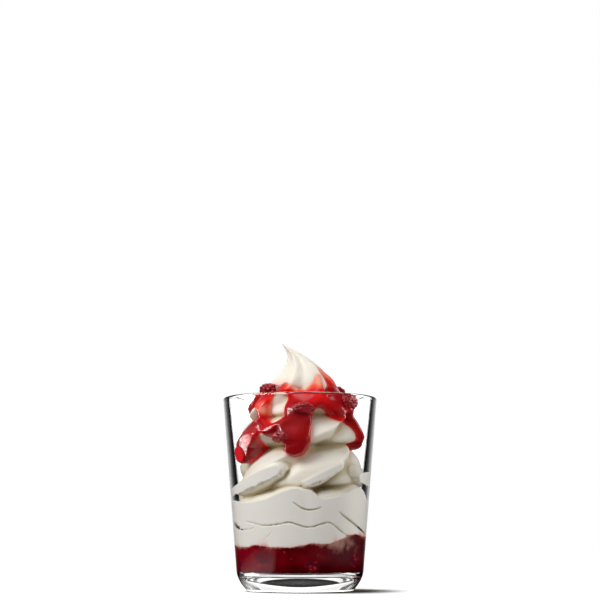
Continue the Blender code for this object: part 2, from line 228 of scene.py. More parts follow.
# %% Surroundings
SKY_ABOVE = 0.36
SKY_BELOW = 0.03
SKY_FADE = (-0.6, 0.9)
SKY_TO_THE_LEFT = 0.5
SKY_MIRRORED = 0.004
SKY_THROUGH_GLASS = 2.6
PANEL_BRIGHTNESS = 1.0
PANEL_WIDTH = math.radians(17.5)


def mirrored_light(tree, right, back):
    """Brightness of the surroundings in a mirror: e to the minus (bearing from +Y over width) squared."""
    away = sums(tree, "DIVIDE", sums(tree, "ARCTAN2", right, back), PANEL_WIDTH)
    fade = sums(tree, "EXPONENT", sums(tree, "MULTIPLY", sums(tree, "MULTIPLY", away, away), -1.0))
    return sums(tree, "MAXIMUM", sums(tree, "MULTIPLY", fade, PANEL_BRIGHTNESS), SKY_MIRRORED)


def light_surroundings():
    """The sky's colour, chosen by how the ray that asks has travelled."""
    world = bpy.data.worlds.new("studio")
    bpy.context.scene.world = world
    world.use_nodes = True
    tree = world.node_tree
    tree.nodes.clear()
    direction = add_node(tree, "ShaderNodeTexCoord").outputs["Generated"]
    axes = add_node(tree, "ShaderNodeSeparateXYZ", {0: direction}).outputs
    straight = rescale(tree, has_been(tree, "Transmission"), 0.0, 1.0, 1.0, SKY_THROUGH_GLASS)
    upper_left = sums(tree, "SUBTRACT", axes["Z"], sums(tree, "MULTIPLY", axes["X"], SKY_TO_THE_LEFT))
    above = rescale(tree, upper_left, *SKY_FADE, SKY_BELOW, SKY_ABOVE)
    in_mirror = mirrored_light(tree, axes["X"], axes["Y"])
    seen = blend_colours(tree, has_been(tree, "Glossy"), straight, in_mirror)
    colour = blend_colours(tree, has_been(tree, "Diffuse"), seen, above)
    sky = add_node(tree, "ShaderNodeBackground", {"Color": colour, "Strength": 1.0})
    add_node(tree, "ShaderNodeOutputWorld", {"Surface": sky.outputs[0]})


light_surroundings()
bpy.context.scene.view_settings.view_transform = "Standard"
bpy.context.scene.view_settings.look = "None"
print("surroundings: white behind, dark beside, one grey panel in mirrors")

# %% [markdown]
# The lamps are soft boxes. The main one is high on the left in front, and a wide, weak one fills the
# shade from the right. One low on the right behind whitens the far edges of the ice cream, and one above
# lights its shoulders. Two of them don't show in mirrors, because they would dull the sauce's red.

# %% Lamps
LAMPS = {
    # name: (place, size in metres, power in watts, whether it shows in mirrors)
    "main_box": ((-0.86, -0.57, 0.80), 0.55, 10.7, True),
    "right_box": ((0.95, 0.55, 0.45), 0.60, 3.6, True),
    "top_box": ((-0.10, 0.15, 1.10), 0.45, 3.0, False),
    "fill_box": ((0.95, -0.55, 0.30), 0.70, 3.1, False),
}
LAMPS_AIM_AT = (0.0, 0.0, 0.07)


def add_lamp(name, place, size, power, in_mirrors):
    """A square soft box turned to face the sundae."""
    data = bpy.data.lights.new(name, "AREA")
    data.shape = "SQUARE"
    data.size = size
    data.energy = power
    lamp = bpy.data.objects.new(name, data)
    lamp.location = place
    away = np.array(place) - np.array(LAMPS_AIM_AT)
    turn = math.atan2(away[1], away[0]) + math.pi / 2
    lean = math.acos(away[2] / np.linalg.norm(away))
    lamp.rotation_euler = (lean, 0, turn)
    lamp.visible_glossy = in_mirrors
    lamp.visible_transmission = in_mirrors
    bpy.context.scene.collection.objects.link(lamp)


for name, choices in LAMPS.items():
    add_lamp(name, *choices)
print("lamps:", ", ".join(LAMPS))

# %% [markdown]
# A surface worked out with numpy is an array of points and arrays of faces. This is the one place where
# they become a mesh. Numbers that a material needs at each point, such as how thick the sauce is there,
# go in as attributes. A finished piece rides on the model's one body and stands for its solids, so all
# of that is said in one call.


# %% From arrays to a piece
def mesh_from_arrays(name, points, *face_arrays):
    """A mesh of points (n by 3) and faces, given as arrays with one row of corners for each face."""
    mesh = bpy.data.meshes.new(name)
    corners = np.concatenate([faces.reshape(-1) for faces in face_arrays])
    sizes = np.concatenate([np.full(len(faces), faces.shape[1]) for faces in face_arrays])
    mesh.vertices.add(len(points))
    mesh.vertices.foreach_set("co", points.astype(np.float32).reshape(-1))
    mesh.loops.add(len(corners))
    mesh.loops.foreach_set("vertex_index", corners.astype(np.int32))
    mesh.polygons.add(len(sizes))
    mesh.polygons.foreach_set("loop_start", (np.cumsum(sizes) - sizes).astype(np.int32))
    mesh.update(calc_edges=True)
    mesh.validate()
    mesh.shade_smooth()
    return mesh


def finished_piece(name, mesh, finish, slot, *nodes, **numbers):
    """An object with its material and attributes, which rides on the root and stands for those nodes."""
    for key, values in numbers.items():
        layer = mesh.attributes.new(key, "FLOAT", "POINT")
        layer.data.foreach_set("value", np.asarray(values, np.float32).reshape(-1))
    mesh.materials.append(finish)
    obj = bpy.data.objects.new(name, mesh)
    bpy.context.scene.collection.objects.link(obj)
    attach(obj, "root")
    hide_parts(*nodes)
    triangles = sum(len(face.vertices) - 2 for face in mesh.polygons)
    print(f"{name}: {len(mesh.vertices)} points, {triangles} triangles")


def ring_faces(rows, columns):
    """Quads between rings of points, each ring closed on itself: point (i, j) joins (i, j+1), (i+1, j+1)
    and (i+1, j). They face outwards when the rings climb and turn anticlockwise seen from above."""
    i, j = np.meshgrid(np.arange(rows - 1), np.arange(columns), indexing="ij")
    right = (j + 1) % columns
    quads = np.stack([i * columns + j, i * columns + right, (i + 1) * columns + right,
                      (i + 1) * columns + j], axis=-1)
    return quads.reshape(-1, 4)


def closed_skin(name, rings, bottom, top):
    """A closed body from rings (rows by columns by 3) and one point at each end."""
    rows, columns = rings.shape[:2]
    points = np.concatenate([rings.reshape(-1, 3), [bottom, top]])
    j = np.arange(columns)
    right = (j + 1) % columns
    last = (rows - 1) * columns
    under = np.stack([np.full(columns, rows * columns), right, j], axis=-1)
    over = np.stack([last + j, last + right, np.full(columns, rows * columns + 1)], axis=-1)
    return mesh_from_arrays(name, points, ring_faces(rows, columns), under, over)


# %% [markdown]
# The floor and two cards belong to the studio, not to the sundae. The cards are there for rays that
# glass has let in and something has mirrored, and for nothing else, so they cast no shadow and light
# nothing that is matt.


# %% Pieces of the studio
SQUARE = ((-1, -1), (1, -1), (1, 1), (-1, 1))


def add_to_studio(name, points, faces, finish, only_in_mirrors=False):
    """A mesh that stands on the stage and isn't part of the sundae."""
    mesh = bpy.data.meshes.new(name)
    mesh.from_pydata(points, [], faces)
    mesh.materials.append(finish)
    obj = bpy.data.objects.new(name, mesh)
    if only_in_mirrors:
        obj.visible_shadow = False
        obj.visible_diffuse = False
        obj.visible_camera = False
    bpy.context.scene.collection.objects.link(obj)
    obj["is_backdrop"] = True


def card_finish(name, pattern, walls_passed=0.5):
    """Light in a pattern for rays that have been mirrored and have passed more surfaces of glass than
    that, and nothing for others."""
    finish = bpy.data.materials.new(name)
    finish.use_nodes = True
    tree = finish.node_tree
    tree.nodes.clear()
    light = add_node(tree, "ShaderNodeEmission", {"Color": pattern(tree)})
    clear = add_node(tree, "ShaderNodeBsdfTransparent")
    mirrored_inside = sums(tree, "MULTIPLY", has_been(tree, "Glossy"),
                           has_been(tree, "Transmission", walls_passed))
    mixed = either_shader(tree, mirrored_inside, clear, light)
    add_node(tree, "ShaderNodeOutputMaterial", {"Surface": mixed})
    return finish


# %% [markdown]
# The floor is plain and white. It lies a hair below the glass, because two surfaces at exactly the
# same height would fight for the same pixels. A little light of its own, which matt things don't get,
# lifts it to the white of the backdrop. That light is dimmed where ambient occlusion, aimed up to the
# left, meets the glass and the sundae, which paints the soft shadow to the right of the base. A mirror
# sees another floor. To rays from inside the glass it is white close to the base, which gathers that
# light. To rays from outside, a bright stretch in front on the left lays a pale veil on the wall. The
# rest is as dark as the studio.

# %% Floor
FLOOR_SIZE = 3.0
FLOOR_GAP = 0.2 * MM
FLOOR_GLOW = 1.0
FLOOR_GLOW_IN_SHADOW = 0.0
FLOOR_THROUGH_GLASS = (1.6, 1.6, 1.6, 1.0)
FLOOR_WHITE = (0.095, 0.09, 0.08, 1.0)
FLOOR_BOUNCE = (0.22, 0.21, 0.19, 1.0)
FLOOR_NEAR = (0.04, 0.06)
VEIL_BRIGHTNESS = 0.8
VEIL_FROM = math.radians(36)
VEIL_TO = math.radians(78)
VEIL_EDGE = math.radians(8)
VEIL_FADE = math.radians(50)
VEIL_ENDS = (0.11, 0.20)
SHADOW_FROM = (-0.78, -0.15, 0.6)
SHADOW_REACH = 0.036
SHADOW_RANGE = (0.52, 0.80)


def veil(tree, axes, away):
    """How bright the stretch is that veils the wall: by its bearing, leftwards from the front, and by
    its distance from the middle."""
    leftward = sums(tree, "ARCTAN2", *(sums(tree, "MULTIPLY", axes[name], -1.0) for name in ("X", "Y")))
    rise = rescale(tree, leftward, VEIL_FROM, VEIL_FROM + VEIL_EDGE, 0.0, VEIL_BRIGHTNESS)
    fall = rescale(tree, leftward, VEIL_TO + VEIL_FADE, VEIL_TO)
    end = rescale(tree, away, *VEIL_ENDS, 1.0, 0.0)
    return sums(tree, "MULTIPLY", end, sums(tree, "MULTIPLY", rise, fall))


def floor_finish():
    """Matt white, with its own light for rays that come straight or through the glass, and a painted shadow.
    """
    finish, tree, shader = new_material("floor", linear(245, 245, 245))
    place = object_place(tree)
    axes = add_node(tree, "ShaderNodeSeparateXYZ", {0: place}).outputs
    through = has_been(tree, "Transmission")
    matt = has_been(tree, "Diffuse")
    # Painted shadow: ambient occlusion aimed up to the left dims the floor's own light to the right of the
    # base.
    leftwards = add_node(tree, "ShaderNodeCombineXYZ", dict(enumerate(SHADOW_FROM))).outputs[0]
    open_sky = add_node(tree, "ShaderNodeAmbientOcclusion", {"Distance": SHADOW_REACH, "Normal": leftwards},
                        samples=16).outputs["AO"]
    glow_with_painted_shadow = rescale(tree, open_sky, *SHADOW_RANGE, FLOOR_GLOW_IN_SHADOW, FLOOR_GLOW)
    own = blend_colours(tree, through, glow_with_painted_shadow, FLOOR_THROUGH_GLASS)
    set_inputs(tree, shader, {"Base Color": blend_colours(tree, matt, FLOOR_WHITE, FLOOR_BOUNCE),
                              "Roughness": 0.9, "Specular IOR Level": 0.0,
                              "Emission Color": blend_colours(tree, matt, own, BLACK),
                              "Emission Strength": 1.0})
    away = add_node(tree, "ShaderNodeVectorMath", {0: place}, operation="LENGTH").outputs["Value"]
    near = sums(tree, "MULTIPLY", rescale(tree, away, *FLOOR_NEAR, 1.0, 0.0), through)
    outside = sums(tree, "MULTIPLY", veil(tree, axes, away), sums(tree, "SUBTRACT", 1.0, through))
    lit = sums(tree, "MAXIMUM", near, outside)
    seen = sums(tree, "MAXIMUM", lit, mirrored_light(tree, axes["X"], axes["Y"]))
    in_mirror = add_node(tree, "ShaderNodeEmission", {"Color": seen})
    only_mirrored = sums(tree, "SUBTRACT", has_been(tree, "Glossy"), matt, clamp=True)
    mixed = either_shader(tree, only_mirrored, shader, in_mirror)
    set_inputs(tree, tree.nodes["Material Output"], {"Surface": mixed})
    return finish


half_floor = FLOOR_SIZE / 2
floor_corners = [(x * half_floor, y * half_floor, -FLOOR_GAP) for x, y in SQUARE]
add_to_studio("floor", floor_corners, [(0, 1, 2, 3)], floor_finish())
print("floor", FLOOR_SIZE, "m across")

# %% [markdown]
# A heavy base gathers light from all round and mirrors it from its own floor. What it shows in a studio
# is the white of the table and dark cards. Here a low collar of card stands close round the base, which
# nothing sees but the rays that the base itself has mirrored. It is white, with dark ovals, and dark
# between the parts that the ovals are in.

# %% Collar of card round the base
COLLAR_RADIUS = 36.5 * MM
COLLAR_HEIGHT = 8.0 * MM
COLLAR_SIDES = 96
COLLAR_WHITE = 1.3
OVALS = 6
OVAL_HALF_WIDTH = math.radians(10.5)
OVAL_MIDDLE = 3.2 * MM
OVAL_HALF_HEIGHT = 1.25 * MM
OVAL_EDGE = (0.92, 1.08)
OVAL_SHEEN = 0.10
DARK_AFTER = math.radians(15)
DARK_EDGE = math.radians(2)


def dark_ovals(tree):
    """White, but dark where (across over half width) squared plus (up over half height) squared is
    under 1. There is one oval in each sector, and the sector's ends are dark as well."""
    axes = add_node(tree, "ShaderNodeSeparateXYZ", {0: object_place(tree)}).outputs
    sector = 2 * math.pi / OVALS
    bearing = sums(tree, "ADD", sums(tree, "ARCTAN2", axes["X"], axes["Y"]), sector / 2)
    across = sums(tree, "SUBTRACT", sums(tree, "FLOORED_MODULO", bearing, sector), sector / 2)
    within = sums(tree, "ABSOLUTE", across)
    wide = sums(tree, "DIVIDE", within, OVAL_HALF_WIDTH)
    tall = sums(tree, "DIVIDE", sums(tree, "SUBTRACT", axes["Z"], OVAL_MIDDLE), OVAL_HALF_HEIGHT)
    away = sums(tree, "SQRT", sums(tree, "ADD", sums(tree, "MULTIPLY", wide, wide),
                                   sums(tree, "MULTIPLY", tall, tall)))
    lit = rescale(tree, within, DARK_AFTER + DARK_EDGE, DARK_AFTER)
    bright = sums(tree, "MULTIPLY", rescale(tree, away, *OVAL_EDGE), lit)
    sheen = rescale(tree, away, 0.0, 1.0, OVAL_SHEEN, 0.0)
    return sums(tree, "ADD", sums(tree, "MULTIPLY", bright, COLLAR_WHITE), sheen)


collar_turn = np.linspace(0, 2 * math.pi, COLLAR_SIDES, endpoint=False)
collar_ring = COLLAR_RADIUS * np.stack([np.cos(collar_turn), np.sin(collar_turn)], axis=-1)
collar_points = [(*place, height) for height in (0.0, COLLAR_HEIGHT) for place in collar_ring.tolist()]
add_to_studio("collar", collar_points, ring_faces(2, COLLAR_SIDES).tolist(),
              card_finish("collar", dark_ovals), only_in_mirrors=True)
print("collar", round(2 * COLLAR_RADIUS / MM, 1), "mm across, with", OVALS, "ovals")

# %% [markdown]
# The sauce's broad shine at the left is a white card's mirror image. The card shows only to rays that
# have gone in through both surfaces of the wall and are on their way out again, so the near wall itself
# doesn't mirror it.

# %% Card for the sauce's shine
CARD_PLACE = (-0.335, 0.06, 0.07)
CARD_HALF_SIZE = 0.11
CARD_FADES_FROM = 0.6 * CARD_HALF_SIZE
CARD_WHITE = 7.0
WALLS_PASSED = 2.5


def faded_round(tree):
    """White that fades with the distance from the card's middle."""
    away = add_node(tree, "ShaderNodeVectorMath", {0: object_place(tree), 1: CARD_PLACE},
                    operation="DISTANCE").outputs["Value"]
    return rescale(tree, away, CARD_FADES_FROM, CARD_HALF_SIZE, CARD_WHITE, 0.0)


def card_corners():
    """The corners of a square round CARD_PLACE that faces the sundae."""
    middle = np.array(CARD_PLACE)
    upwards = np.array([0, 0, CARD_HALF_SIZE])
    sideways = np.cross(middle, upwards) / np.hypot(middle[0], middle[1])
    return [tuple(middle + x * sideways + y * upwards) for x, y in SQUARE]


add_to_studio("card", card_corners(), [(0, 1, 2, 3)], card_finish("card", faded_round, WALLS_PASSED),
              only_in_mirrors=True)
print("card", 2 * CARD_HALF_SIZE, "m across")

# %% [markdown]
# The tumbler is turned: a profile runs from under the middle of the base, out over the foot, up the
# wall, over the rounded rim and down inside to the floor. The round parts are arcs. The wall tapers,
# and it tapers a little faster inside, so it is thickest at the heavy base. The base is hollowed
# underneath, and that shallow dish is what glitters between the sauce and the table.

# %% Sizes of the glass
GLASS_HEIGHT = 102.0 * MM
RIM_RADIUS = 41.1 * MM
OUTER_TAPER = 0.0815
WALL_AT_RIM = 3.0 * MM
INNER_TAPER = 0.107
HEEL_HEIGHT = 10.9 * MM
HEEL_INSET = 5.0 * MM
FOOT_EDGE = 1.0 * MM
FOOT_EDGE_ENDS = -35
PUNT_RADIUS = 19.5 * MM
PUNT_DEPTH = 1.8 * MM
FLOOR_HEIGHT = 8.5 * MM
FLOOR_CORNER = 3.0 * MM
GLASS_COLUMNS = 288


def outer_wall(z):
    """The outside radius: an even taper from the rim down, less a parabola near the foot."""
    drawn_in = np.clip(1 - z / HEEL_HEIGHT, 0, 1) ** 2
    return RIM_RADIUS - OUTER_TAPER * (GLASS_HEIGHT - z) - HEEL_INSET * drawn_in


def inner_wall(z):
    """The inside radius: a straight taper, less a quarter circle near the floor."""
    straight = RIM_RADIUS - WALL_AT_RIM - INNER_TAPER * (GLASS_HEIGHT - z)
    below = np.clip((FLOOR_HEIGHT + FLOOR_CORNER - z) / FLOOR_CORNER, 0, 1)
    return straight - FLOOR_CORNER * (1 - np.sqrt(1 - below**2))


def arc(centre, radius, start, end, steps):
    """Points (radius, height) along an arc from start to end in degrees."""
    angle = np.radians(np.linspace(start, end, steps + 1))
    return np.stack([centre[0] + radius * np.cos(angle), centre[1] + radius * np.sin(angle)], axis=-1)


def line(start, end, steps):
    """Points (radius, height) along a straight line, without its ends."""
    share = np.linspace(0, 1, steps + 2)[1:-1, None]
    return np.array(start) * (1 - share) + np.array(end) * share


# %% The tumbler's profile, spun
def glass_profile():
    """Radius and height of each ring, from the edge of the dish underneath to the middle of the floor."""
    edge = arc((outer_wall(FOOT_EDGE) - FOOT_EDGE, FOOT_EDGE), FOOT_EDGE, -90, FOOT_EDGE_ENDS, 8)
    heel_z = np.linspace(edge[-1][1], HEEL_HEIGHT, 26)[1:]
    heel = np.concatenate([edge, np.stack([outer_wall(heel_z), heel_z], axis=-1)])
    bead = WALL_AT_RIM / 2
    rim = arc((RIM_RADIUS - bead, GLASS_HEIGHT - bead), bead, 0, 180, 28)
    corner_middle = (inner_wall(FLOOR_HEIGHT + FLOOR_CORNER) - FLOOR_CORNER, FLOOR_HEIGHT + FLOOR_CORNER)
    corner = arc(corner_middle, FLOOR_CORNER, 0, -90, 20)
    share = np.linspace(0, 1, 26)[1:]
    dish = np.stack([PUNT_RADIUS * share, PUNT_DEPTH * (1 + np.cos(math.pi * share)) / 2], axis=-1)
    floor_share = np.linspace(1, 0, 12)[1:-1, None]
    floor = np.concatenate([corner[-1][0] * floor_share, np.full_like(floor_share, FLOOR_HEIGHT)], axis=1)
    foot = line(dish[-1], heel[0], 4)
    outside = line(heel[-1], rim[0], 40)
    inner = line(rim[-1], corner[0], 40)
    return np.concatenate([dish, foot, heel, outside, rim, inner, corner, floor])


def spin(profile, columns):
    """Rings of points: x = radius times the sine of the bearing, y = minus radius times its cosine."""
    bearing = np.linspace(-math.pi, math.pi, columns, endpoint=False)
    radius, height = profile[:, :1], profile[:, 1:]
    return np.stack([radius * np.sin(bearing), -radius * np.cos(bearing),
                     np.broadcast_to(height, (len(profile), columns))], axis=-1)


# %% [markdown]
# Glass is one Principled BSDF with full transmission. Two kinds of ray pass it as if it were air: the
# shadow rays that join a surface to a lamp, and rays that leave something matt. Without that, the ice
# cream inside would be lit only by what happens to bend through the wall, which is slow and grainy.


# %% Clear glass
GLASS_AS_AIR = (0.98, 0.98, 0.975, 1.0)


def clear_glass():
    """Clear, smooth glass of index 1.5 that lets lamplight through to what it holds."""
    finish, tree, shader = new_material("clear_glass", linear(235, 240, 240))
    set_inputs(tree, shader, {"Base Color": (1.0, 1.0, 1.0, 1.0), "Roughness": 0.0, "IOR": 1.5,
                              "Transmission Weight": 1.0})
    path = add_node(tree, "ShaderNodeLightPath")
    through = sums(tree, "MAXIMUM", path.outputs["Is Shadow Ray"], path.outputs["Is Diffuse Ray"])
    air = add_node(tree, "ShaderNodeBsdfTransparent", {"Color": GLASS_AS_AIR})
    mixed = either_shader(tree, through, shader, air)
    set_inputs(tree, tree.nodes["Material Output"], {"Surface": mixed})
    return finish


glass_rings = spin(glass_profile(), GLASS_COLUMNS)
glass_mesh = closed_skin("glass_tumbler", glass_rings, (0, 0, PUNT_DEPTH), (0, 0, FLOOR_HEIGHT))
finished_piece("glass_tumbler", glass_mesh, clear_glass(), "glass", "tumbler")

# %% [markdown]
# The soft serve is one rope of ice cream, ribbed by the nozzle and coiled up. Its radius at a bearing
# and a height is a smooth belly, less the crease between two turns of the coil, less the hollow between
# two ribs, plus a slow unevenness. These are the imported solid's formulas, with slightly deeper creases,
# so the fine surface lies where the solid is.

# %% Sizes of the swirl
BELLY = np.array([
    (0, 37.0), (48, 37.0), (55, 36.0), (60, 34.7), (68, 34.4), (76, 33.4), (82, 32.6), (88, 31.2),
    (94, 29.2), (99, 26.6), (103, 23.4), (107, 19.6), (112, 16.2), (116.6, 12.3), (119.4, 9.6),
    (122.3, 7.0), (125.6, 4.3), (128.4, 2.2), (130.2, 0.9), (131.2, 0.0),
]) * MM
PEAK_HEIGHT = BELLY[-1, 0]
CREASES = np.array([(12, 2.0), (35.5, 3.0), (53, 8.3), (75.3, 9.0), (91, 5.5), (104.5, 2.6), (118, 0)]) * MM
CREASE_SAG = 0.85
FRONT_FLATTENING = 0.7
RIDGES = 6
RIDGE_DEPTH = 5.2 * MM
RIDGE_SHARE_OF_BELLY = 0.25
RIDGE_TWIST = math.radians(3.05) / MM
RIDGE_AT_PEAK = math.radians(40)
TWIST_ENDS = 107.0 * MM
CREST_SHARPNESS = 0.12
RIDGE_LEAN = 0.5
WAVES = ((0.5, 2, 0.11, 0.8), (0.3, 5, -0.23, 2.1), (0.2, 9, 0.37, 4.0))
WAVE_HEIGHT = 0.9 * MM
WAVE_SHARE_OF_BELLY = 0.05
SLICE_MIDDLES = np.array([
    (0, 0.0), (95, 0.0), (106, 1.0), (112, 1.7), (118, 1.4), (122.3, -0.4), (125.6, -2.9), (128.4, -6.0),
    (131.2, -9.6),
]) * MM
BED_RELIEF = 0.3
BED_RUB = 1.2 * MM


# %% The swirl's formulas
def wrapped(angle):
    """The same angle, from minus half a turn to half a turn."""
    return (angle + math.pi) % (2 * math.pi) - math.pi


def bell(away):
    """e to the minus (away squared): 1 in the middle and almost nothing beyond 2."""
    return np.exp(-(away**2))


def round_bell(bearing, centre, width):
    """A bell over the bearing, with its centre and width in degrees."""
    return bell(wrapped(bearing - math.radians(centre)) / math.radians(width))


def swells(bearing, table):
    """A sum of round swells, each given by the bearing of its centre, its width and its rise in mm."""
    return sum(rise * MM * round_bell(bearing, centre, width) for centre, width, rise in table)


def smooth_max(a, b, blend):
    """The larger of two values, with a fillet where they are within the blend of each other."""
    share = np.clip(0.5 + 0.5 * (a - b) / blend, 0, 1)
    return b + (a - b) * share + blend * share * (1 - share)


def smooth_min(a, b, blend):
    """The smaller of two values, with a fillet."""
    return -smooth_max(-a, -b, blend)


def eased(low, high, value):
    """0 below low, 1 above high, and 3t squared less 2t cubed between them."""
    share = np.clip((value - low) / (high - low), 0, 1)
    return share * share * (3 - 2 * share)


def smooth_table(z, table):
    """A table read along a smooth curve: straight readings averaged over a few near heights."""
    reach = np.array([-1.2, -0.6, 0.0, 0.6, 1.2]) * MM
    weight = np.array([1, 2, 3, 2, 1]) / 9
    near_tip = np.clip((PEAK_HEIGHT - z) / (6 * MM), 0, 1)
    return sum(w * np.interp(z + r * near_tip, table[:, 0], table[:, 1]) for r, w in zip(reach, weight))


def slice_middle(z):
    """How far right of the axis a level slice has its middle: the peak curls over to the left."""
    return smooth_table(z, SLICE_MIDDLES)


def around(bearing, radius, z):
    """Points at a radius and height, about the slice's own middle."""
    bearing, radius, z = np.broadcast_arrays(bearing, radius, z)
    return np.stack([slice_middle(z) + radius * np.sin(bearing), -radius * np.cos(bearing), z], axis=-1)


def crease_share(bearing, z):
    """1 in a crease between two turns of the coil, and 0 at the belly of a turn."""
    turn = (bearing - FRONT_FLATTENING * np.sin(bearing)) / (2 * math.pi)
    climbed = np.interp(z, CREASES[:, 0], np.arange(len(CREASES))) - turn
    within = (climbed % 1.0) ** CREASE_SAG
    return 1 - np.sqrt(np.sin(math.pi * within))


def ridge_share(bearing, z):
    """0 on the crest of a rib that the nozzle leaves, and 1 in the hollow beside it."""
    crest = RIDGE_AT_PEAK - RIDGE_TWIST * np.clip(TWIST_ENDS - z, 0, None)
    phase = RIDGES * (bearing - crest)
    leaning = phase + RIDGE_LEAN * (1 - np.cos(phase))
    blunt = CREST_SHARPNESS**2
    return np.sqrt((np.sin(leaning / 2) ** 2 + blunt) / (1 + blunt))


def wander(bearing, z):
    """The unevenness of a swirl made by hand, from -1 to 1."""
    return sum(share * np.sin(count * bearing + lean * z / MM + phase)
               for share, count, lean, phase in WAVES)


def free_swirl(bearing, z, relief=1.0):
    """The radius that the soft serve would have with no glass round it."""
    belly = smooth_table(z, BELLY)
    crease = np.interp(z, CREASES[:, 0], CREASES[:, 1]) * crease_share(bearing, z)
    hollow = np.minimum(RIDGE_DEPTH, RIDGE_SHARE_OF_BELLY * belly) * ridge_share(bearing, z)
    uneven = np.minimum(WAVE_HEIGHT, WAVE_SHARE_OF_BELLY * belly) * wander(bearing, z)
    return belly - relief * (crease + hollow) + uneven - (1 - relief) * BED_RUB


# %% [markdown]
# Noise on a surface like this has to meet itself at the back, so it is made on a lattice that goes
# round a whole number of times: random values at the corners, eased from one to the next.


# %% Noise that closes round the swirl
NOISE_RADIUS = 33.0 * MM
NOISE_ROWS = 400


def drift(bearing, z, size, seed, stretch=1.0):
    """Smooth noise from -1 to 1 with lumps of that size, stretched round the swirl by that much."""
    columns = max(3, round(2 * math.pi * NOISE_RADIUS / (size * stretch)))
    values = np.random.default_rng(seed).uniform(-1, 1, (NOISE_ROWS, columns))
    across = (bearing / (2 * math.pi) % 1.0) * columns
    up = np.asarray(z) / size
    i, j = np.floor(up).astype(int), np.floor(across).astype(int)
    u, v = up - i, across - j
    u, v = u * u * (3 - 2 * u), v * v * (3 - 2 * v)
    i, j = i % (NOISE_ROWS - 1), j % columns
    right = (j + 1) % columns
    low = values[i, j] * (1 - v) + values[i, right] * v
    high = values[i + 1, j] * (1 - v) + values[i + 1, right] * v
    return low * (1 - u) + high * u


def rounded(places):
    """A line of places with its corners cut twice: each new pair lies a quarter in from both ends."""
    path = np.array(places, float)
    for _ in range(2):
        first = path[:-1] * 0.75 + path[1:] * 0.25
        second = path[:-1] * 0.25 + path[1:] * 0.75
        cut = np.stack([first, second], axis=1).reshape(-1, path.shape[1])
        path = np.concatenate([path[:1], cut[1:-1], path[-1:]])
    return path


def stroke_depth(bearing, z, stroke):
    """How far inside a stroke a place on the wall lies, how far above its middle line, and how far along.

    The wall is unrolled, so a place is an arc length and a height. A stroke is a list of (bearing in
    degrees, height, half width), and its outline is the envelope of circles along it."""
    stations = np.array(stroke, float)
    arcs = np.radians(stations[:, 0]) * NOISE_RADIUS
    heights, widths = stations[:, 1] * MM, stations[:, 2] * MM
    middle = np.radians(stations[:, 0].mean())
    x = (wrapped(bearing - middle) + middle) * NOISE_RADIUS
    best = np.full(np.broadcast(x, z).shape, -np.inf)
    above = np.zeros_like(best)
    along = np.zeros_like(best)
    for k in range(len(stations) - 1):
        dx, dz = arcs[k + 1] - arcs[k], heights[k + 1] - heights[k]
        share = np.clip(((x - arcs[k]) * dx + (z - heights[k]) * dz) / (dx**2 + dz**2), 0, 1)
        away_x, away_z = x - arcs[k] - share * dx, z - heights[k] - share * dz
        depth = widths[k] + (widths[k + 1] - widths[k]) * share - np.hypot(away_x, away_z)
        nearer = depth > best
        best = np.where(nearer, depth, best)
        above = np.where(nearer, away_z, above)
        along = np.where(nearer, (k + share) / (len(stations) - 1), along)
    return best, above, along


# %% [markdown]
# Where soft serve is pressed on the glass it looks quite different from where it hangs free: flat,
# pale and dull, with a ragged edge below and a smooth one above. So the places that touch are drawn:
# everything below an uneven line, and a few long patches on the turn above it. There the surface goes
# a hair into the glass, so that no film of air is left between them. In between, it keeps clear of
# the glass by half a millimetre or more. Where folds have closed on each other, thin cracks run over
# the pressed part, and two low folds cross the free part.

# %% Where the soft serve touches the glass
INTO_GLASS = 0.15 * MM
CLEAR_OF_GLASS = 0.5 * MM
CLEAR_BLEND = 1.2 * MM
TOUCH_BLEND = 0.5 * MM
PACKED_TO = np.array([
    # bearing and height of the line up to which it is packed
    (-95, 46.5), (-79, 47.6), (-50, 45.9), (-30, 47.7), (-19.5, 50.6), (-9.5, 52.6), (0, 53.1),
    (9, 51.8), (14, 50.4), (18, 47.0), (28, 48.1), (43, 50.2), (57, 54.0), (66, 53.8), (73, 51.0),
    (84, 46.0), (100, 46.5), (128, 50.5), (160, 53.5), (185, 49.0), (212, 51.5), (240, 54.0),
    (254, 50.0), (265, 46.5),
])
PACKED_AVERAGED_OVER = (-4, -2, 0, 2, 4)
PACKED_FALL = 1.1
FINE_LUMP_HEIGHT = 0.12 * MM
FINE_LUMP_SIZE = 2.5 * MM
CALM_NEAR_PEAK = 25 * MM
RAGGED_SIZES = (1.1 * MM, 0.6 * MM)
RAGGED_AT = (13, 10)
RAGGED_LEAST = 0.15
RAGGED_DEPTH = 0.6 * MM
RAGGED_REACH = 0.8 * MM
PATCHES = (
    # each is a stroke of bearing, height and half width
    ((-80, 51.6, 2.0), (-56, 54.6, 2.5), (-36, 59.0, 3.1), (-21, 62.0, 2.4)),
    ((5, 55.2, 1.2), (20, 59.2, 1.9), (37, 64.4, 1.2)),
    ((64, 59.0, 2.4), (80, 58.6, 4.0), (100, 57.4, 3.0)),
    ((128, 60.0, 1.8), (150, 65.0, 2.4)),
    ((196, 57.5, 2.0), (222, 62.0, 2.6)),
)
PATCH_FALL_ABOVE = 0.42
PATCH_FALL_BELOW = 1.5
PATCH_TURNS_OVER = 0.8 * MM
PATCH_BEND = 0.16
PATCH_RAGGED_ABOVE = 0.06 * MM
PATCH_RAGGED_BELOW = 0.66 * MM
PATCH_RAGGED_REACH = 0.7 * MM
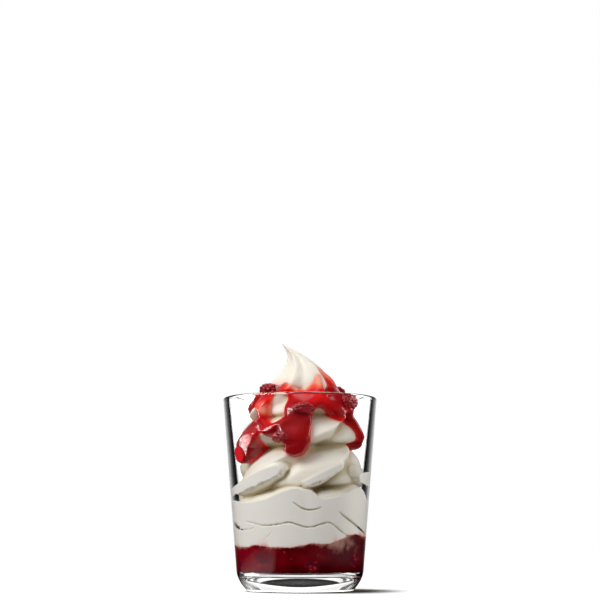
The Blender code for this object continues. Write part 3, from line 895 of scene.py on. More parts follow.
CRACKS = (
    # (half width, rise or depth), then the line it follows as bearing and height
    ((0.24, 1.5), ((-57, 36.6), (-46, 35.2), (-33, 34.0), (-20, 34.7), (-10, 36.0), (-3, 34.7), (4, 33.3),
                   (12, 33.3), (19, 34.9), (27, 36.0), (33, 34.4), (42, 30.8), (50, 28.7))),
    ((0.28, 1.5), ((-6, 46.0), (0, 43.2), (7, 41.9), (13, 42.2), (19, 43.4))),
    ((0.30, 1.8), ((37, 41.2), (46, 38.2), (56, 35.6), (66, 33.0), (88, 29.0))),
    ((0.55, 2.6), ((-92, 36.2), (-80, 34.9), (-69, 33.0))),
    ((0.16, 0.7), ((-68, 32.4), (-52, 31.9), (-45, 33.6))),
    ((0.14, 0.5), ((-38, 26.2), (-31, 28.6), (-26, 31.2))),
    ((0.25, 1.5), ((108, 38.0), (128, 35.2), (150, 36.4), (172, 33.0), (190, 35.6), (212, 34.4),
                   (232, 37.0))),
    ((0.28, 1.5), ((150, 44.0), (163, 41.5), (176, 43.5))),
    ((0.30, 1.6), ((226, 45.0), (240, 42.0), (252, 41.0))),
)
CRACKS_WAVER = 0.5
WAVER_SIZE = 1.6 * MM
FOLDS = (
    # the same: a sharp crest with a dent beside it
    ((1.5, 1.4), ((13, 75.5), (33, 82.6), (49, 90.0), (58, 94.5))),
    ((2.4, -1.7), ((36, 78.0), (54, 86.0), (64, 91.5))),
)
LAYER_LEVEL = 22.8 * MM
LAYER_MIDDLE = 26.0 * MM
LAYER_RAGGED = (0.25 * MM, 0.2 * MM)
LAYER_SWELLS = ((60, 28, 6.6), (100, 20, 4.6), (-45, 11, 1.2), (11, 12, 1.5), (-96, 13, 1.6),
                (158, 26, 3.4), (215, 20, -1.4))
LEAST_RADIUS = 0.2 * MM


def packed_height(bearing):
    """The height up to which the soft serve is pressed on the glass, all the way round."""
    near = [np.interp(np.degrees(bearing) + turn, PACKED_TO[:, 0], PACKED_TO[:, 1], period=360)
            for turn in PACKED_AVERAGED_OVER]
    return sum(near) / len(near) * MM


def relief_along(bearing, z, lines, waver=0.0):
    """The height of all the lines: for each, its own rise times a bell of the distance over the half
    width, which wavers by that share, running out at both ends."""
    total = 0.0
    uneven = 1 + waver * drift(bearing, z, WAVER_SIZE, 21)
    for (width, rise), places in lines:
        inside, _, along = stroke_depth(bearing, z, rounded([(b, h, 0.0) for b, h in places]))
        ends = np.clip(np.sin(math.pi * along), 0, 1) ** 0.4
        total = total + rise * MM * ends * bell(inside / (width * MM * uneven))
    return total


def soft_serve_radius(bearing, z):
    """The free swirl with its folds, held clear of the glass, joined with what is pressed on it, less
    the cracks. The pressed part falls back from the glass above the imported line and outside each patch."""
    wall = inner_wall(z)
    ragged = drift(bearing, z, RAGGED_SIZES[0], 3) + 0.6 * drift(bearing, z, RAGGED_SIZES[1], 4)
    calm = np.clip((PEAK_HEIGHT - z) / CALM_NEAR_PEAK, 0, 1) ** 2
    free = free_swirl(bearing, z) + FINE_LUMP_HEIGHT * calm * drift(bearing, z, FINE_LUMP_SIZE, 5)
    free = free + relief_along(bearing, z, FOLDS)
    held = smooth_min(free, wall - CLEAR_OF_GLASS, CLEAR_BLEND)
    over = z - packed_height(bearing)
    rough_here = RAGGED_LEAST + (1 - RAGGED_LEAST) * round_bell(bearing, *RAGGED_AT)
    uneven = RAGGED_DEPTH * rough_here * ragged * bell(over / RAGGED_REACH)
    pressed = wall + INTO_GLASS - PACKED_FALL * (1 + rough_here) * (over + uneven)
    for patch in PATCHES:
        inside, above, _ = stroke_depth(bearing, z, rounded(patch))
        lower = eased(PATCH_TURNS_OVER, -PATCH_TURNS_OVER, above)
        fall = PATCH_FALL_ABOVE + (PATCH_FALL_BELOW - PATCH_FALL_ABOVE) * lower
        depth = PATCH_RAGGED_ABOVE + (PATCH_RAGGED_BELOW - PATCH_RAGGED_ABOVE) * lower
        edge = inside + depth * ragged * bell(inside / PATCH_RAGGED_REACH)
        beyond = np.clip(-edge, 0, None)
        pressed = np.maximum(pressed, wall + INTO_GLASS + fall * edge - PATCH_BEND / MM * beyond**2)
    joined = np.minimum(smooth_max(held, pressed, TOUCH_BLEND), wall + INTO_GLASS)
    return np.clip(joined - relief_along(bearing, z, CRACKS, CRACKS_WAVER), LEAST_RADIUS, None)


def layer_level(bearing, share):
    """The height where sauce meets soft serve, from the middle (share 0) to the wall (share 1)."""
    coarse, fine = drift(bearing, LAYER_LEVEL, 2.4 * MM, 61), drift(bearing, LAYER_LEVEL, 1.1 * MM, 62)
    ragged = LAYER_RAGGED[0] * coarse + LAYER_RAGGED[1] * fine
    at_wall = LAYER_LEVEL + swells(bearing, LAYER_SWELLS) + ragged
    return LAYER_MIDDLE + (at_wall - LAYER_MIDDLE) * share**2


# %% [markdown]
# The grid of the soft serve has more columns at the front of the swirl than at its back, and more rows
# where it meets the glass and at the peak. That costs nothing: the bearing is bent by a sine, and the
# rows are spread by a density that is added up and read backwards.

# %% The grid
SWIRL_COLUMNS = 430
SWIRL_ROWS = 224
DENSE_ROWS = ((45, 16, 0.9), (62, 8, 0.5), (130, 3, 5.0))
FOOT_REACH = 25 * MM
FRONT_CROWDING = 0.38
HIDDEN_RINGS = (0.35, 0.7)


def crowded_bearings(columns):
    """Bearings all the way round, closer together at the front: u less a share of sine u."""
    even = np.linspace(-math.pi, math.pi, columns, endpoint=False)
    return even - FRONT_CROWDING * np.sin(even)


def spread_heights(low, high, count, dense):
    """Heights from low to high, with density 1 plus a bell for each (middle, half width, extra) in mm."""
    fine = np.linspace(low, high, 4000)
    density = 1 + sum(extra * bell((fine / MM - middle) / width) for middle, width, extra in dense)
    share = np.cumsum(density)
    share = (share - share[0]) / (share[-1] - share[0])
    return np.interp(np.linspace(0, 1, count), share, fine)


swirl_bearing = crowded_bearings(SWIRL_COLUMNS)
swirl_heights = spread_heights(LAYER_LEVEL, PEAK_HEIGHT - 0.15 * MM, SWIRL_ROWS, DENSE_ROWS)
foot_lift = np.clip(1 - (swirl_heights - LAYER_LEVEL) / FOOT_REACH, 0, 1)[:, None] ** 2
swirl_z = swirl_heights[:, None] + foot_lift * (layer_level(swirl_bearing, 1.0) - LAYER_LEVEL)
swirl_across = np.broadcast_to(swirl_bearing, swirl_z.shape)
swirl_r = soft_serve_radius(swirl_across, swirl_z)
row_gaps = np.diff(swirl_heights) / MM
print("rows are", round(float(row_gaps.min()), 2), "to", round(float(row_gaps.max()), 2), "mm apart")

# %% [markdown]
# The poured sauce has to be known before the soft serve gets its colours, because a thin pink stain
# runs ahead of it. Its outline is a cap round the peak, nine runs down the coil and two windows where
# the ice cream shows through, one of them a narrow slit along a crest. How deep a place lies inside that
# outline decides everything else: the rounded edge, the thickness and the colour.

# %% Where the sauce has run
CAP_TOP = 109.5 * MM
CAP_TOP_SWELLS = ((80, 22, 9.5), (33, 12, 4.8), (0, 20, -4.0), (-70, 16, -1.0), (200, 30, 3.5))
CAP_EDGE = 95.5 * MM
CAP_EDGE_SWELLS = ((-30, 16, -16.0), (-77, 17, 8.5), (21, 12, -0.8), (150, 30, -4.0), (235, 24, -5.0))
RUNS = (
    # bearing, height and half width along each
    ((-41, 101, 4.4), (-43, 90, 5.2), (-53, 80, 7.2), (-60, 73, 7.2)),
    ((0, 96, 8.6), (-7, 87, 9.6), (-4, 76.6, 7.6)),
    ((38, 99, 6.0), (45, 92.6, 5.2)),
    ((66, 98, 5.6), (74, 88, 4.6), (80, 81, 4.4), (81, 77.5, 4.6)),
    ((108, 97, 6.0), (112, 88, 5.0)),
    ((134, 96, 6.5), (141, 86, 5.8), (146, 76.5, 5.4)),
    ((172, 98, 6.0), (176, 90, 5.2)),
    ((198, 96, 6.5), (206, 87, 5.6), (210, 82, 5.2)),
    ((228, 96, 7.0), (237, 84, 6.2), (243, 74, 6.0)),
)
WINDOWS = (
    ((-29, 91.4, 4.8), (-28, 98.8, 4.0)),
    ((60, 118, 1.0), (47, 113.5, 1.4), (42, 109, 1.6), (41, 104, 1.5), (40, 101.5, 0.8)),
)
RUN_BLEND = 3.0 * MM
WINDOW_BLEND = 1.2 * MM
EDGE_WANDERS = 0.25 * MM
EDGE_WANDER_SIZE = 3.0 * MM


def run_depth(points, run):
    """How far each point lies inside a run of sauce: the half width there less the distance to its line."""
    stations = np.array([[math.radians(b), z * MM, w * MM] for b, z, w in run])
    bed = np.minimum(free_swirl(stations[:, 0], stations[:, 1], BED_RELIEF), inner_wall(stations[:, 1]))
    centres = around(stations[:, 0], bed, stations[:, 1])
    best = np.full(points.shape[:-1], -1.0)
    for start, end, width, next_width in zip(centres, centres[1:], stations[:, 2], stations[1:, 2]):
        along = end - start
        share = np.clip(((points - start) @ along) / (along @ along), 0, 1)
        nearest = start + share[..., None] * along
        depth = width + (next_width - width) * share - np.linalg.norm(points - nearest, axis=-1)
        best = np.maximum(best, depth)
    return best


def sauce_depth(bearing, z):
    """How far inside the poured sauce a place lies, and how far below its upper edge."""
    bed = np.minimum(free_swirl(bearing, z, BED_RELIEF), inner_wall(z))
    points = around(bearing, bed, z)
    top = CAP_TOP + swells(bearing, CAP_TOP_SWELLS) - z
    edge = z - CAP_EDGE - swells(bearing, CAP_EDGE_SWELLS)
    depth = np.minimum(top, edge)
    for run in RUNS:
        depth = smooth_max(depth, run_depth(points, run), RUN_BLEND)
    for window in WINDOWS:
        depth = -smooth_max(-depth, run_depth(points, window), WINDOW_BLEND)
    return depth + EDGE_WANDERS * drift(bearing, z, EDGE_WANDER_SIZE, 11), top


# %% [markdown]
# Soft serve is milk fat, air and ice: matt, slightly warm, and light goes a millimetre or two into it.
# In a crease, light that has bounced several times comes back yellower and dimmer, so the creases get
# painted shade, by how far the surface lies below its own blurred copy: below a fine blur it is painted
# yellower, and below a coarse blur, which only the deep creases are, it is painted darker. Pressed on
# glass it turns grey and dull. Near the sauce it is stained pink.


# %% Hollows and stains
HOLLOW_FULL = 0.7 * MM
HOLLOW_FADES = (112 * MM, 96 * MM)
DEEP_FULL = 2.3 * MM
DEEP_FROM = 0.15
DEEP_FADES = (104 * MM, 96 * MM)
DEEP_WHOLE_BELOW = (66 * MM, 58 * MM)
DEEP_LEFT_OUT = (-60, 42)
STAIN_REACH = 1.3 * MM


def blurred(field, rows, columns):
    """A field averaged over a window of so many rows and columns, closed round the columns."""
    tall = np.pad(field, ((rows, rows), (0, 0)), mode="edge")
    sums_down = np.cumsum(np.pad(tall, ((1, 0), (0, 0))), axis=0)
    field = (sums_down[2 * rows + 1:] - sums_down[:-2 * rows - 1]) / (2 * rows + 1)
    wide = np.pad(field, ((0, 0), (columns, columns)), mode="wrap")
    sums_across = np.cumsum(np.pad(wide, ((0, 0), (1, 0))), axis=1)
    return (sums_across[:, 2 * columns + 1:] - sums_across[:, :-2 * columns - 1]) / (2 * columns + 1)


def twice_blurred(field, rows, columns):
    """A field blurred twice, which leaves no corners."""
    return blurred(blurred(field, rows, columns), rows, columns)


def touch_of_wall(radius, z):
    """1 where a surface is in the glass, and 0 where it is clear of it."""
    return eased(-0.12 * MM, 0.05 * MM, radius - inner_wall(z))


# Painted shade: hollow is how far the surface lies below a fine blur of itself, and deep is how far it lies
# below a coarse one, kept weak on the left, where the main lamp falls.
hollow = np.clip((twice_blurred(swirl_r, 5, 6) - swirl_r) / HOLLOW_FULL, 0, 1)
hollow = hollow * (0.15 + 0.85 * eased(*HOLLOW_FADES, swirl_z))
deep = np.clip((twice_blurred(swirl_r, 11, 12) - swirl_r) / DEEP_FULL - DEEP_FROM, 0, 1)
deep = deep * eased(*DEEP_FADES, swirl_z) * (0.4 + 0.6 * eased(*DEEP_WHOLE_BELOW, swirl_z))
deep = deep * (1 - 0.85 * round_bell(swirl_across, *DEEP_LEFT_OUT))
touching = touch_of_wall(swirl_r, swirl_z)
swirl_depth, _ = sauce_depth(swirl_across, swirl_z)
near_sauce = np.exp(-np.clip(-swirl_depth, 0, None) / STAIN_REACH)
stain_noise = 0.5 + 0.5 * drift(swirl_across, swirl_z, 5 * MM, 31)
over_layer = (swirl_z - layer_level(swirl_across, 1.0)) / MM
seep = np.exp(-over_layer / (0.35 + 1.6 * np.clip(drift(swirl_across, swirl_z * 0.4, 4 * MM, 33), 0, 1)))
stain = np.clip(near_sauce * (0.15 + 0.5 * stain_noise) + 0.95 * seep, 0, 1)


# %% Soft serve's finish
def soft_serve_finish():
    """Matt milk white, with four painted numbers: hollow and deep (painted shade), stain and touching."""
    finish, tree, shader = new_material("soft_serve", linear(243, 237, 224))
    pale = blend_colours(tree, mottle(tree, 60.0), linear(249, 243, 231), linear(245, 238, 224))
    # Painted shade: the creases are painted yellower, and the deep ones darker.
    crease_shaded = blend_colours(tree, sums(tree, "MULTIPLY", painted(tree, "hollow"), 0.85), pale,
                             linear(216, 200, 156))
    deep_crease_shaded = blend_colours(tree, painted(tree, "deep"), crease_shaded, linear(128, 108, 74))
    pressed = blend_colours(tree, painted(tree, "touching"), deep_crease_shaded, linear(240, 236, 230))
    colour = blend_colours(tree, painted(tree, "stain"), pressed, linear(222, 96, 84))
    rough = rescale(tree, painted(tree, "touching"), 0.0, 1.0, 0.42, 0.95)
    set_inputs(tree, shader, {"Base Color": colour, "Roughness": rough, "Specular IOR Level": 0.35,
                              "Subsurface Weight": 0.25, "Subsurface Radius": (1.0, 0.8, 0.55),
                              "Subsurface Scale": 1.2 * MM,
                              "Normal": bumpy(tree, mottle(tree, 900.0), 0.12, 0.2 * MM)})
    return finish


# %% The soft serve
def soft_serve_rings():
    """Rings from the hidden underside, which lies on the sauce, up to the peak."""
    under = [around(swirl_bearing, share * inner_wall(layer_level(swirl_bearing, share)),
                    layer_level(swirl_bearing, share)) for share in HIDDEN_RINGS]
    return np.concatenate([np.array(under), around(swirl_across, swirl_r, swirl_z)])


def with_hidden_rows(field):
    """A field of the visible rows, repeated for the hidden rings, with a value for each end point."""
    rows = np.concatenate([np.repeat(field[:1], len(HIDDEN_RINGS), axis=0), field])
    return np.concatenate([rows.reshape(-1), [field[0].mean(), field[-1].mean()]])


peak = around(0.0, 0.0, PEAK_HEIGHT)
serve_mesh = closed_skin("swirl", soft_serve_rings(), (0, 0, LAYER_MIDDLE), peak)
serve_fields = {"hollow": hollow, "deep": deep, "stain": stain, "touching": touching}
finished_piece("swirl", serve_mesh, soft_serve_finish(), "soft_serve", "soft_serve",
               **{name: with_hidden_rows(field) for name, field in serve_fields.items()})

# %% [markdown]
# The sauce in the bottom fills the glass from wall to wall, so its side lies a hair inside the wall's
# surface as well. It climbs a little behind the soft serve's lower edge, where nobody can see it, so
# that no gap opens between them. Seen through glass it is a flat picture: dark red, with crushed
# berries as paler, pebbled patches, a few seeds and bubbles, and a pink cloud where ice cream has
# melted into it.

# %% Sauce in the bottom
LAYER_COLUMNS = 400
LAYER_ROWS = 90
BEHIND_SWIRL = 0.03 * MM
CLIMBS_BEHIND = 1.0 * MM
OFF_THE_FLOOR = 0.08 * MM
SUNK_BERRIES = (
    # (bearing, height, half width, half height) of the berries that press on the wall
    (-38, 17.5, 8.0, 5.8), (-76, 13.5, 4.4, 3.8), (12, 14.0, 4.6, 3.4), (64, 17.0, 5.0, 4.6),
    (104, 14.5, 6.4, 5.0), (140, 17.0, 5.6, 5.4), (176, 13.0, 6.2, 4.4), (214, 15.0, 6.0, 5.2),
    (250, 14.0, 5.2, 4.8),
)
SAUCE_RADIUS_IN_MM = 31
HIDDEN_TOP_LIFT = 0.6 * MM


def sunk_berry_share(bearing, z):
    """1 in the middle of a berry that presses on the wall, 0 outside all of them."""
    best = np.zeros(np.broadcast(bearing, z).shape)
    for middle, height, wide, tall in SUNK_BERRIES:
        across = wrapped(bearing - math.radians(middle)) * SAUCE_RADIUS_IN_MM / wide
        up = (z / MM - height) / tall
        best = np.maximum(best, 1 - np.clip(np.hypot(across, up), 0, 1) ** 2)
    return best


def layer_sauce_finish():
    """Dark red sauce behind glass: painted numbers for berries, cream and light, noise for the rest."""
    finish, tree, shader = new_material("layer_sauce", linear(110, 6, 20))
    place = object_place(tree)
    pebbles = add_node(tree, "ShaderNodeTexVoronoi", {"Vector": place, "Scale": 620.0,
                                                      "Randomness": 0.85}).outputs["Distance"]
    seeds = add_node(tree, "ShaderNodeTexVoronoi", {"Vector": place, "Scale": 260.0}).outputs["Distance"]
    sauce = blend_colours(tree, mottle(tree, 95.0, 0.38, 0.62, detail=3.0), linear(84, 1, 5),
                          linear(124, 3, 18))
    low = blend_colours(tree, painted(tree, "low"), sauce, linear(58, 0, 2))
    # Painted light: a lighter red on the left, where the main lamp falls.
    painted_left_light = blend_colours(tree, painted(tree, "painted_left_light"), low, linear(136, 4, 28))
    dusky = blend_colours(tree, painted(tree, "dusk"), painted_left_light, linear(84, 38, 44))
    wisps = add_node(tree, "ShaderNodeTexNoise", {"Vector": place, "Scale": 190.0, "Detail": 4.0,
                                                  "Roughness": 0.5, "Distortion": 0.5}).outputs["Fac"]
    rim_of_pebble = rescale(tree, pebbles, 0.25, 0.62)
    marbled = blend_colours(tree, rescale(tree, wisps, 0.47, 0.53), linear(84, 10, 26), linear(200, 56, 62))
    berry = blend_colours(tree, rim_of_pebble, marbled, linear(96, 16, 36))
    here_and_there = rescale(tree, mottle(tree, 95.0, 0.35, 0.55, detail=3.0), 0.0, 1.0, 0.4, 1.0)
    patchy = sums(tree, "MULTIPLY", painted(tree, "sunk"), here_and_there)
    with_berries = blend_colours(tree, patchy, dusky, berry)
    dotted = blend_colours(tree, rescale(tree, seeds, 0.085, 0.05), with_berries, linear(190, 90, 80))
    curled = sums(tree, "ADD", painted(tree, "melted"), rescale(tree, wisps, 0.3, 0.7, -0.55, 0.55))
    milky = sums(tree, "MULTIPLY", rescale(tree, curled, 0.1, 1.1),
                 rescale(tree, painted(tree, "melted"), 0.0, 0.4))
    colour = blend_colours(tree, milky, dotted, linear(192, 142, 130))
    dents = sums(tree, "ADD", mottle(tree, 95.0), sums(tree, "MULTIPLY", pebbles, painted(tree, "sunk")))
    set_inputs(tree, shader, {"Base Color": colour, "Roughness": 0.5, "Specular IOR Level": 0.0,
                              "Subsurface Weight": 0.1, "Subsurface Radius": (1.0, 0.12, 0.1),
                              "Subsurface Scale": 1.5 * MM,
                              "Normal": bumpy(tree, dents, 0.25, 0.3 * MM)})
    return finish


def sauce_layer():
    """Rings up the wall from the floor's corner to the level, then inwards over the hidden top."""
    bearing = crowded_bearings(LAYER_COLUMNS)
    share = np.linspace(0, 1, LAYER_ROWS)[:, None]
    floor = FLOOR_HEIGHT + OFF_THE_FLOOR
    level = layer_level(bearing, 1.0) + CLIMBS_BEHIND
    z = floor + (level - floor) * share**1.5
    wall = inner_wall(z) + INTO_GLASS - BEHIND_SWIRL
    radius = np.where(share > 0, wall, inner_wall(floor))
    across = np.broadcast_to(bearing, z.shape)
    top = [around(bearing, inner * wall[-1], layer_level(bearing, inner) + HIDDEN_TOP_LIFT)
           for inner in reversed(HIDDEN_RINGS)]
    under = [around(bearing, inner * radius[0], floor) for inner in HIDDEN_RINGS]
    rings = np.concatenate([np.array(under), around(across, radius, z), np.array(top)])
    mesh = closed_skin("sauce_layer", rings, (0, 0, floor), (0, 0, LAYER_MIDDLE + HIDDEN_TOP_LIFT))
    below = (layer_level(across, 1.0) - z) / MM
    spot = bell((across - math.radians(37)) / 0.34) * bell((z / MM - 25.6) / 4.4)
    behind = bell(wrapped(across - math.radians(165)) / 0.5) * bell(below / 3.0)
    fields = {
        "melted": np.clip(0.95 * spot + 0.6 * behind + 0.5 * np.exp(-np.clip(below, 0, None) / 0.6), 0, 1),
        "low": 1 - eased(FLOOR_HEIGHT, 17 * MM, z),
        # painted light: a lighter red on the left, where the main lamp falls
        "painted_left_light": 0.8 * bell(wrapped(across - math.radians(-62)) / 0.55),
        "dusk": 0.8 * bell(wrapped(across - math.radians(48)) / 0.5) * eased(11 * MM, 18 * MM, z),
        "sunk": sunk_berry_share(across, z),
    }

    def everywhere(field):
        """The field with a 0 for each point of the hidden rings and for the two end points."""
        hidden = np.zeros((len(HIDDEN_RINGS), LAYER_COLUMNS))
        return np.append(np.concatenate([hidden, field, hidden]).reshape(-1), [0.0, 0.0])

    finished_piece("sauce_layer", mesh, layer_sauce_finish(), "berry_sauce", "berry_sauce_layer",
                   **{name: everywhere(field) for name, field in fields.items()})


sauce_layer()

# %% [markdown]
# Poured sauce is a skin over the ice cream: thin and coral pink where it has just begun to cover, deep
# red where it lies thick in a crease or hangs in a drop. Its edge is a round bead. The surface is the
# soft serve's own grid pushed outwards by the thickness. Outside the outline the push turns inwards,
# so the skin dives under the ice cream and the grid's stepped border is hidden. A second, inner
# surface and a wall along the border close it.

# %% Thickness of the poured sauce
POUR_COLUMNS = 460
POUR_ROWS = 150
POUR_LOW, POUR_HIGH = 62.0 * MM, 121.0 * MM
BEAD_WIDTHS = (2.6 * MM, 4.0 * MM)
COAT_HEIGHTS = np.array([76, 84, 88, 108]) * MM
COAT_THICKNESSES = np.array([3.9, 2.6, 2.5, 1.3]) * MM
CREST_COAT = 0.6
LEAST_COAT = 0.3 * MM
COAT_BLEND = 1.5 * MM
DIVE = 3.0
DIVE_LIMIT = 1.0 * MM
INNER_SKIN = 1.3 * MM
FILM_REACH = 7.0 * MM
SAUCE_CLEAR = 0.4 * MM
# Painted highlight: the places at -50 and 28 degrees stand for highlights, painted as paler sauce. The
# others are where the sauce is thin over the ice cream.
THIN_AND_HIGHLIGHT_PLACES = (
    # bearing, height, size and how much of the colour's depth is taken away there
    (-43, 94, 6.5, 0.93), (-50, 77.0, 4.2, 0.92), (28, 97, 5.0, 0.55), (8, 108, 6.5, 0.88),
    (-10, 106, 5.0, 0.88), (28, 109.5, 6.0, 0.88), (72, 112, 8.0, 0.85), (-4, 84, 5.0, 0.35),
    (80, 84, 4.0, 0.2),
)
FULL_PLACES = (
    # bearing, height, size and how much thicker the sauce is there in mm
    (-49, 75.5, 5.5, 2.4),
)
DISC_ON_WALL = ((-61.5, 72.2, 3.0), (-60, 70.4, 3.4))
DISC_FALL = 1.1
BERRIES = (
    # bearing, height, half size along the swirl, up it and outwards, how far out the middle lies
    (-64, 105.4, 6.2, 4.4, 4.0, 1.7), (3, 94.2, 5.0, 3.6, 3.5, 1.5), (-16.5, 79.4, 4.4, 3.8, 3.2, 1.9),
    (66, 98.4, 6.0, 4.6, 4.0, 2.0), (112, 104.8, 4.6, 5.2, 4.2, 2.2), (188, 101.5, 5.6, 4.6, 4.0, 1.9),
    (-122, 96.5, 5.0, 4.4, 3.8, 1.7),
)


def berry_nearness(bearing, z):
    """1 beside a berry, falling to 0 some 5 mm away: sauce creeps up there."""
    points = around(bearing, np.minimum(free_swirl(bearing, z, BED_RELIEF), inner_wall(z)), z)
    near = 0.0
    for b, height, along, *_ in BERRIES:
        b, height = math.radians(b), height * MM
        middle = around(b, free_swirl(b, height, BED_RELIEF), height)
        away = np.linalg.norm(points - middle, axis=-1)
        near = np.maximum(near, bell(away / (along * MM * 1.1)))
    return near


def beside(bearing, z, place, height, size):
    """A bell of the distance from a place over its size, with the swirl unrolled."""
    sideways = wrapped(bearing - math.radians(place)) * NOISE_RADIUS
    return bell(np.hypot(sideways, z - height * MM) / (size * MM))


def colour_depth(bearing, z, thickness):
    """The thickness that the colour shows: less where light shines through from the ice cream behind,
    and less again where a highlight is painted.
    """
    for place, height, size, share in THIN_AND_HIGHLIGHT_PLACES:
        thickness = thickness * (1 - share * beside(bearing, z, place, height, size))
    return thickness


def poured_thickness(bearing, z, seat, depth, under_top):
    """How far the sauce stands over the soft serve. A bead follows the edge: the square root of
    1 less (1 - t) squared. There t is the depth over the bead's width, which is the sauce's own height,
    within limits. Inside, the coat fills the creases and lies thin over the crests, and near the upper
    edge it is only a film."""
    coat = np.interp(z, COAT_HEIGHTS, COAT_THICKNESSES) * (1 + 0.12 * drift(bearing, z, 6 * MM, 51))
    coat = coat + 0.9 * MM * berry_nearness(bearing, z)
    for place, height, size, more in FULL_PLACES:
        coat = coat + more * MM * beside(bearing, z, place, height, size)
    film = 0.22 + 0.78 * eased(0.0, FILM_REACH, under_top)
    bed = free_swirl(bearing, z, BED_RELIEF)
    filled = bed - (1 - film) * 1.5 * MM + coat * film
    full = smooth_max(seat + CREST_COAT * coat * film, filled, COAT_BLEND)
    full = smooth_max(twice_blurred(full, 3, 4), seat + LEAST_COAT, COAT_BLEND / 2)
    share = np.clip(depth / np.clip(full - seat, *BEAD_WIDTHS), 0, 1)
    bead = np.sqrt(1 - (1 - share) ** 2)
    outer = np.minimum(seat + bead * (full - seat), np.maximum(inner_wall(z) - SAUCE_CLEAR, seat))
    disc, _, _ = stroke_depth(bearing, z, DISC_ON_WALL)
    in_wall = inner_wall(z) + INTO_GLASS
    on_wall = in_wall + DISC_FALL * np.minimum(disc, 0)
    outer = np.where(depth > 0, smooth_max(outer, on_wall, TOUCH_BLEND), outer)
    outer = np.minimum(outer, in_wall)
    return np.where(depth > 0, outer - seat, np.maximum(DIVE * depth, -DIVE_LIMIT))


# %% [markdown]
# Berry sauce is glossy: a clear wet coat over a red that depends on how much of it there is. The
# material reads the thickness in millimetres that the mesh carries, and a colour ramp turns it from
# coral through red to a dark wine red.


# %% Poured sauce's finish
def poured_sauce_finish():
    """Wet red sauce whose colour follows its thickness."""
    finish, tree, shader = new_material("poured_sauce", linear(190, 14, 20))
    uneven = rescale(tree, mottle(tree, 130.0, 0.3, 0.7), 0.0, 1.0, -0.35, 0.35)
    thickness = sums(tree, "ADD", painted(tree, "thickness"), uneven)
    ramp = add_node(tree, "ShaderNodeValToRGB", {0: rescale(tree, thickness, 0.0, 4.0)})
    stops = ((0.0, (252, 176, 152)), (0.12, (246, 104, 82)), (0.28, (226, 22, 26)), (0.55, (200, 4, 12)),
             (1.0, (150, 1, 8)))
    elements = ramp.color_ramp.elements
    for index, (position, colour) in enumerate(stops):
        stop = elements[index] if index < 2 else elements.new(position)
        stop.position = position
        stop.color = linear(*colour)
    dark = blend_colours(tree, painted(tree, "berry_juice"), ramp.outputs["Color"], linear(112, 4, 26))
    touching = painted(tree, "touching")
    colour = blend_colours(tree, sums(tree, "MULTIPLY", touching, 0.8), dark, linear(240, 26, 38))
    set_inputs(tree, shader, {"Base Color": colour,
                              "Roughness": rescale(tree, touching, 0.0, 1.0, 0.36, 0.6),
                              "Coat Weight": rescale(tree, touching, 0.0, 1.0, 1.0, 0.0),
                              "Coat Roughness": 0.07, "Specular IOR Level": 0.15,
                              "Subsurface Weight": 0.25, "Subsurface Radius": (1.0, 0.12, 0.08),
                              "Subsurface Scale": 2.0 * MM,
                              "Normal": bumpy(tree, mottle(tree, 700.0, detail=1.0), 0.1, 0.3 * MM)})
    return finish


# %% The poured sauce
def border_walls(quads, count):
    """Quads that join the border of a sheet to that of its inner copy, whose points come count later."""
    starts = quads.reshape(-1)
    ends = np.roll(quads, -1, axis=1).reshape(-1)
    forward, backward = starts * count + ends, ends * count + starts
    on_border = ~np.isin(forward, backward)
    a, b = starts[on_border], ends[on_border]
    return np.stack([b, a, a + count, b + count], axis=-1)


def poured_sauce():
    """The grid over the swirl, kept where there is sauce, with an inner copy under the soft serve."""
    bearing = crowded_bearings(POUR_COLUMNS)
    z = np.linspace(POUR_LOW, POUR_HIGH, POUR_ROWS)[:, None]
    across, up = np.broadcast_arrays(bearing, z)
    seat = soft_serve_radius(across, up)
    depth, under_top = sauce_depth(across, up)
    thickness = poured_thickness(across, up, seat, depth, under_top)
    quads = ring_faces(POUR_ROWS, POUR_COLUMNS)
    quads = quads[(depth.reshape(-1)[quads] > 0).any(axis=1)]
    used, index = np.unique(quads, return_inverse=True)
    quads = index.reshape(quads.shape)
    outer = around(across, seat + thickness, up).reshape(-1, 3)[used]
    inner = around(across, seat - INNER_SKIN, up).reshape(-1, 3)[used]
    count = len(used)
    faces = np.concatenate([quads, quads[:, ::-1] + count, border_walls(quads, count)])
    mesh = mesh_from_arrays("poured_sauce", np.concatenate([outer, inner]), faces)
    fields = {
        "thickness": colour_depth(across, up, thickness) / MM,
        "touching": touch_of_wall(seat + thickness, up),
        "berry_juice": 0.75 * berry_nearness(across, up) ** 2,
    }

    def twice(field):
        """The field at the used points, for the outer and the inner surface."""
        values = field.reshape(-1)[used]
        return np.concatenate([values, values])

    finished_piece("poured_sauce", mesh, poured_sauce_finish(), "berry_sauce", "berry_sauce_top",
                   **{name: twice(field) for name, field in fields.items()})


poured_sauce()

# %% [markdown]
# A berry is a cluster of drupelets, little beads round a core. As a surface it is a ball whose radius,
# in each direction, swells like a dome over the nearest drupelet, so the beads meet in sharp creases.
# The drupelets' middles follow a spiral from pole to pole, which spreads points evenly over a ball,
# and each is then moved a little at random.

# %% Berries
BERRY_COLUMNS = 132
BERRY_ROWS = 66
DRUPELETS = 58
DRUPELET_RISE = 0.27
DRUPELET_REACH = 0.325
DRUPELET_SIZES_VARY = 0.17
CORE = 0.84
CRUSHED = (1.08, 0.80, 0.85)
DENTS = 0.09
DENT_WAVES = 3.2
SLOPE_REACH = 2.0 * MM
POLES_AT = 0.9


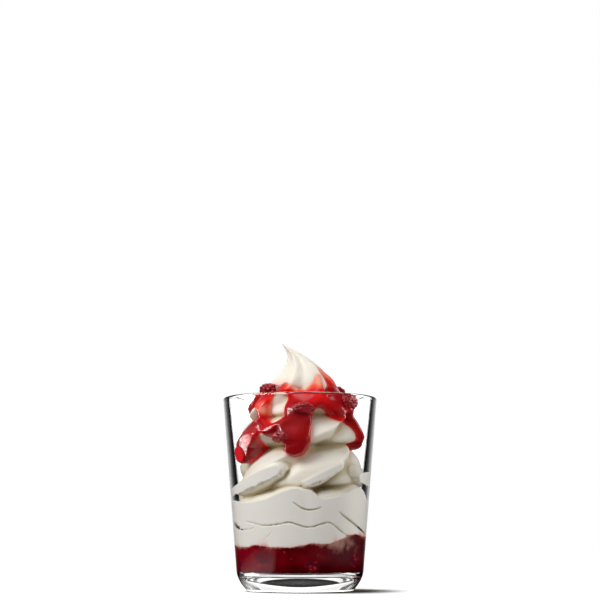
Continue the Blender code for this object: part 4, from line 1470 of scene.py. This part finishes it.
def drupelet_middles(seed):
    """Unit directions along a golden-angle spiral, with a little random wander."""
    number = np.arange(DRUPELETS) + 0.5
    height = 1 - 2 * number / DRUPELETS
    turn = math.pi * (3 - math.sqrt(5)) * number
    flat = np.sqrt(1 - height**2)
    middles = np.stack([flat * np.cos(turn), flat * np.sin(turn), height], axis=-1)
    middles += np.random.default_rng(seed).normal(0, 0.07, middles.shape)
    return middles / np.linalg.norm(middles, axis=1, keepdims=True)


def berry(number, place, finish):
    """One berry: radius = a core, plus the rise times the dome of the nearest drupelet, plus slow dents,
    stretched to its three half sizes and turned to lie on the swirl."""
    bearing, z = math.radians(place[0]), place[1] * MM
    *half_sizes, lift = (size * MM for size in place[2:])
    bed = free_swirl(bearing, z, BED_RELIEF)
    slope = (free_swirl(bearing, z + SLOPE_REACH, BED_RELIEF) - bed) / SLOPE_REACH
    centre = around(bearing, bed + lift, z)
    sideways = np.array([math.cos(bearing), math.sin(bearing), 0])
    upwards = np.array([slope * math.sin(bearing), -slope * math.cos(bearing), 1])
    upwards /= np.linalg.norm(upwards)
    facing = np.cross(sideways, upwards)

    turn = np.linspace(0, 2 * math.pi, BERRY_COLUMNS, endpoint=False)
    polar = np.linspace(math.pi, 0, BERRY_ROWS + 2)[1:-1, None]
    unit = np.stack([np.sin(polar) * np.cos(turn), np.sin(polar) * np.sin(turn),
                     np.broadcast_to(np.cos(polar), (BERRY_ROWS, BERRY_COLUMNS))], axis=-1)
    middles = drupelet_middles(number)
    nearness = unit @ middles.T
    random = np.random.default_rng(50 + number)
    sizes = 1 + DRUPELET_SIZES_VARY * random.normal(0, 1, DRUPELETS)
    away = np.sqrt(np.clip(2 - 2 * nearness, 0, None)) / (DRUPELET_REACH * sizes)
    domes = np.sqrt(np.clip(1 - away**2, 0, None))
    dome = domes.max(axis=-1)
    ways = random.normal(0, 1, (4, 3))
    dents = sum(np.sin(DENT_WAVES * unit @ way + phase) for phase, way in enumerate(ways))
    swell = CORE + DRUPELET_RISE * dome + DENTS * dents / 2
    local = unit * swell[..., None] * (np.array(half_sizes) * CRUSHED)
    basis = np.stack([sideways, upwards, facing])
    rings = centre + local @ basis
    pole = np.array([0, 0, POLES_AT * half_sizes[2]]) @ basis
    mesh = closed_skin(f"berry_{number}_drupelets", rings, centre - pole, centre + pole)
    tint = np.random.default_rng(80 + number).uniform(0, 1, DRUPELETS)[domes.argmax(axis=-1)]
    ends = [0.5, 0.5]
    finished_piece(f"berry_{number}_drupelets", mesh, finish, "berry", f"berry_{number}",
                   dome=np.append(dome.reshape(-1), ends), tint=np.append(tint.reshape(-1), ends))


def berry_finish():
    """Dark, wet berries: each drupelet has its own red, and painted shade makes the creases nearly black."""
    finish, tree, shader = new_material("berry", linear(110, 10, 34))
    red = blend_colours(tree, painted(tree, "tint"), linear(112, 4, 18), linear(178, 14, 30))
    dusty = sums(tree, "MULTIPLY", mottle(tree, 500.0, 0.45, 0.75), 0.22)
    paler = blend_colours(tree, dusty, red, linear(190, 62, 70))
    # Painted shade: where the dome is low, between the drupelets, the colour goes nearly black.
    colour = blend_colours(tree, rescale(tree, painted(tree, "dome"), 0.15, 0.65), linear(46, 0, 8), paler)
    set_inputs(tree, shader, {"Base Color": colour, "Roughness": 0.35, "Coat Weight": 0.7,
                              "Coat Roughness": 0.12, "Subsurface Weight": 0.15,
                              "Subsurface Radius": (1.0, 0.1, 0.15), "Subsurface Scale": 1.0 * MM,
                              "Normal": bumpy(tree, mottle(tree, 500.0), 0.3, 0.2 * MM)})
    return finish


shared_berry_finish = berry_finish()
for number, place in enumerate(BERRIES, 1):
    berry(number, place, shared_berry_finish)

# %% [markdown]
# The solids' box and the dressed sundae's box are written down side by side.

# %% Sizes
dressed_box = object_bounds()
for axis, *ends in zip("xyz", *cad_box, *dressed_box):
    was, now = (ends[1] - ends[0]) / MM, (ends[3] - ends[2]) / MM
    print(axis, round(was, 2), "mm as solids,", round(now, 2), "mm dressed")
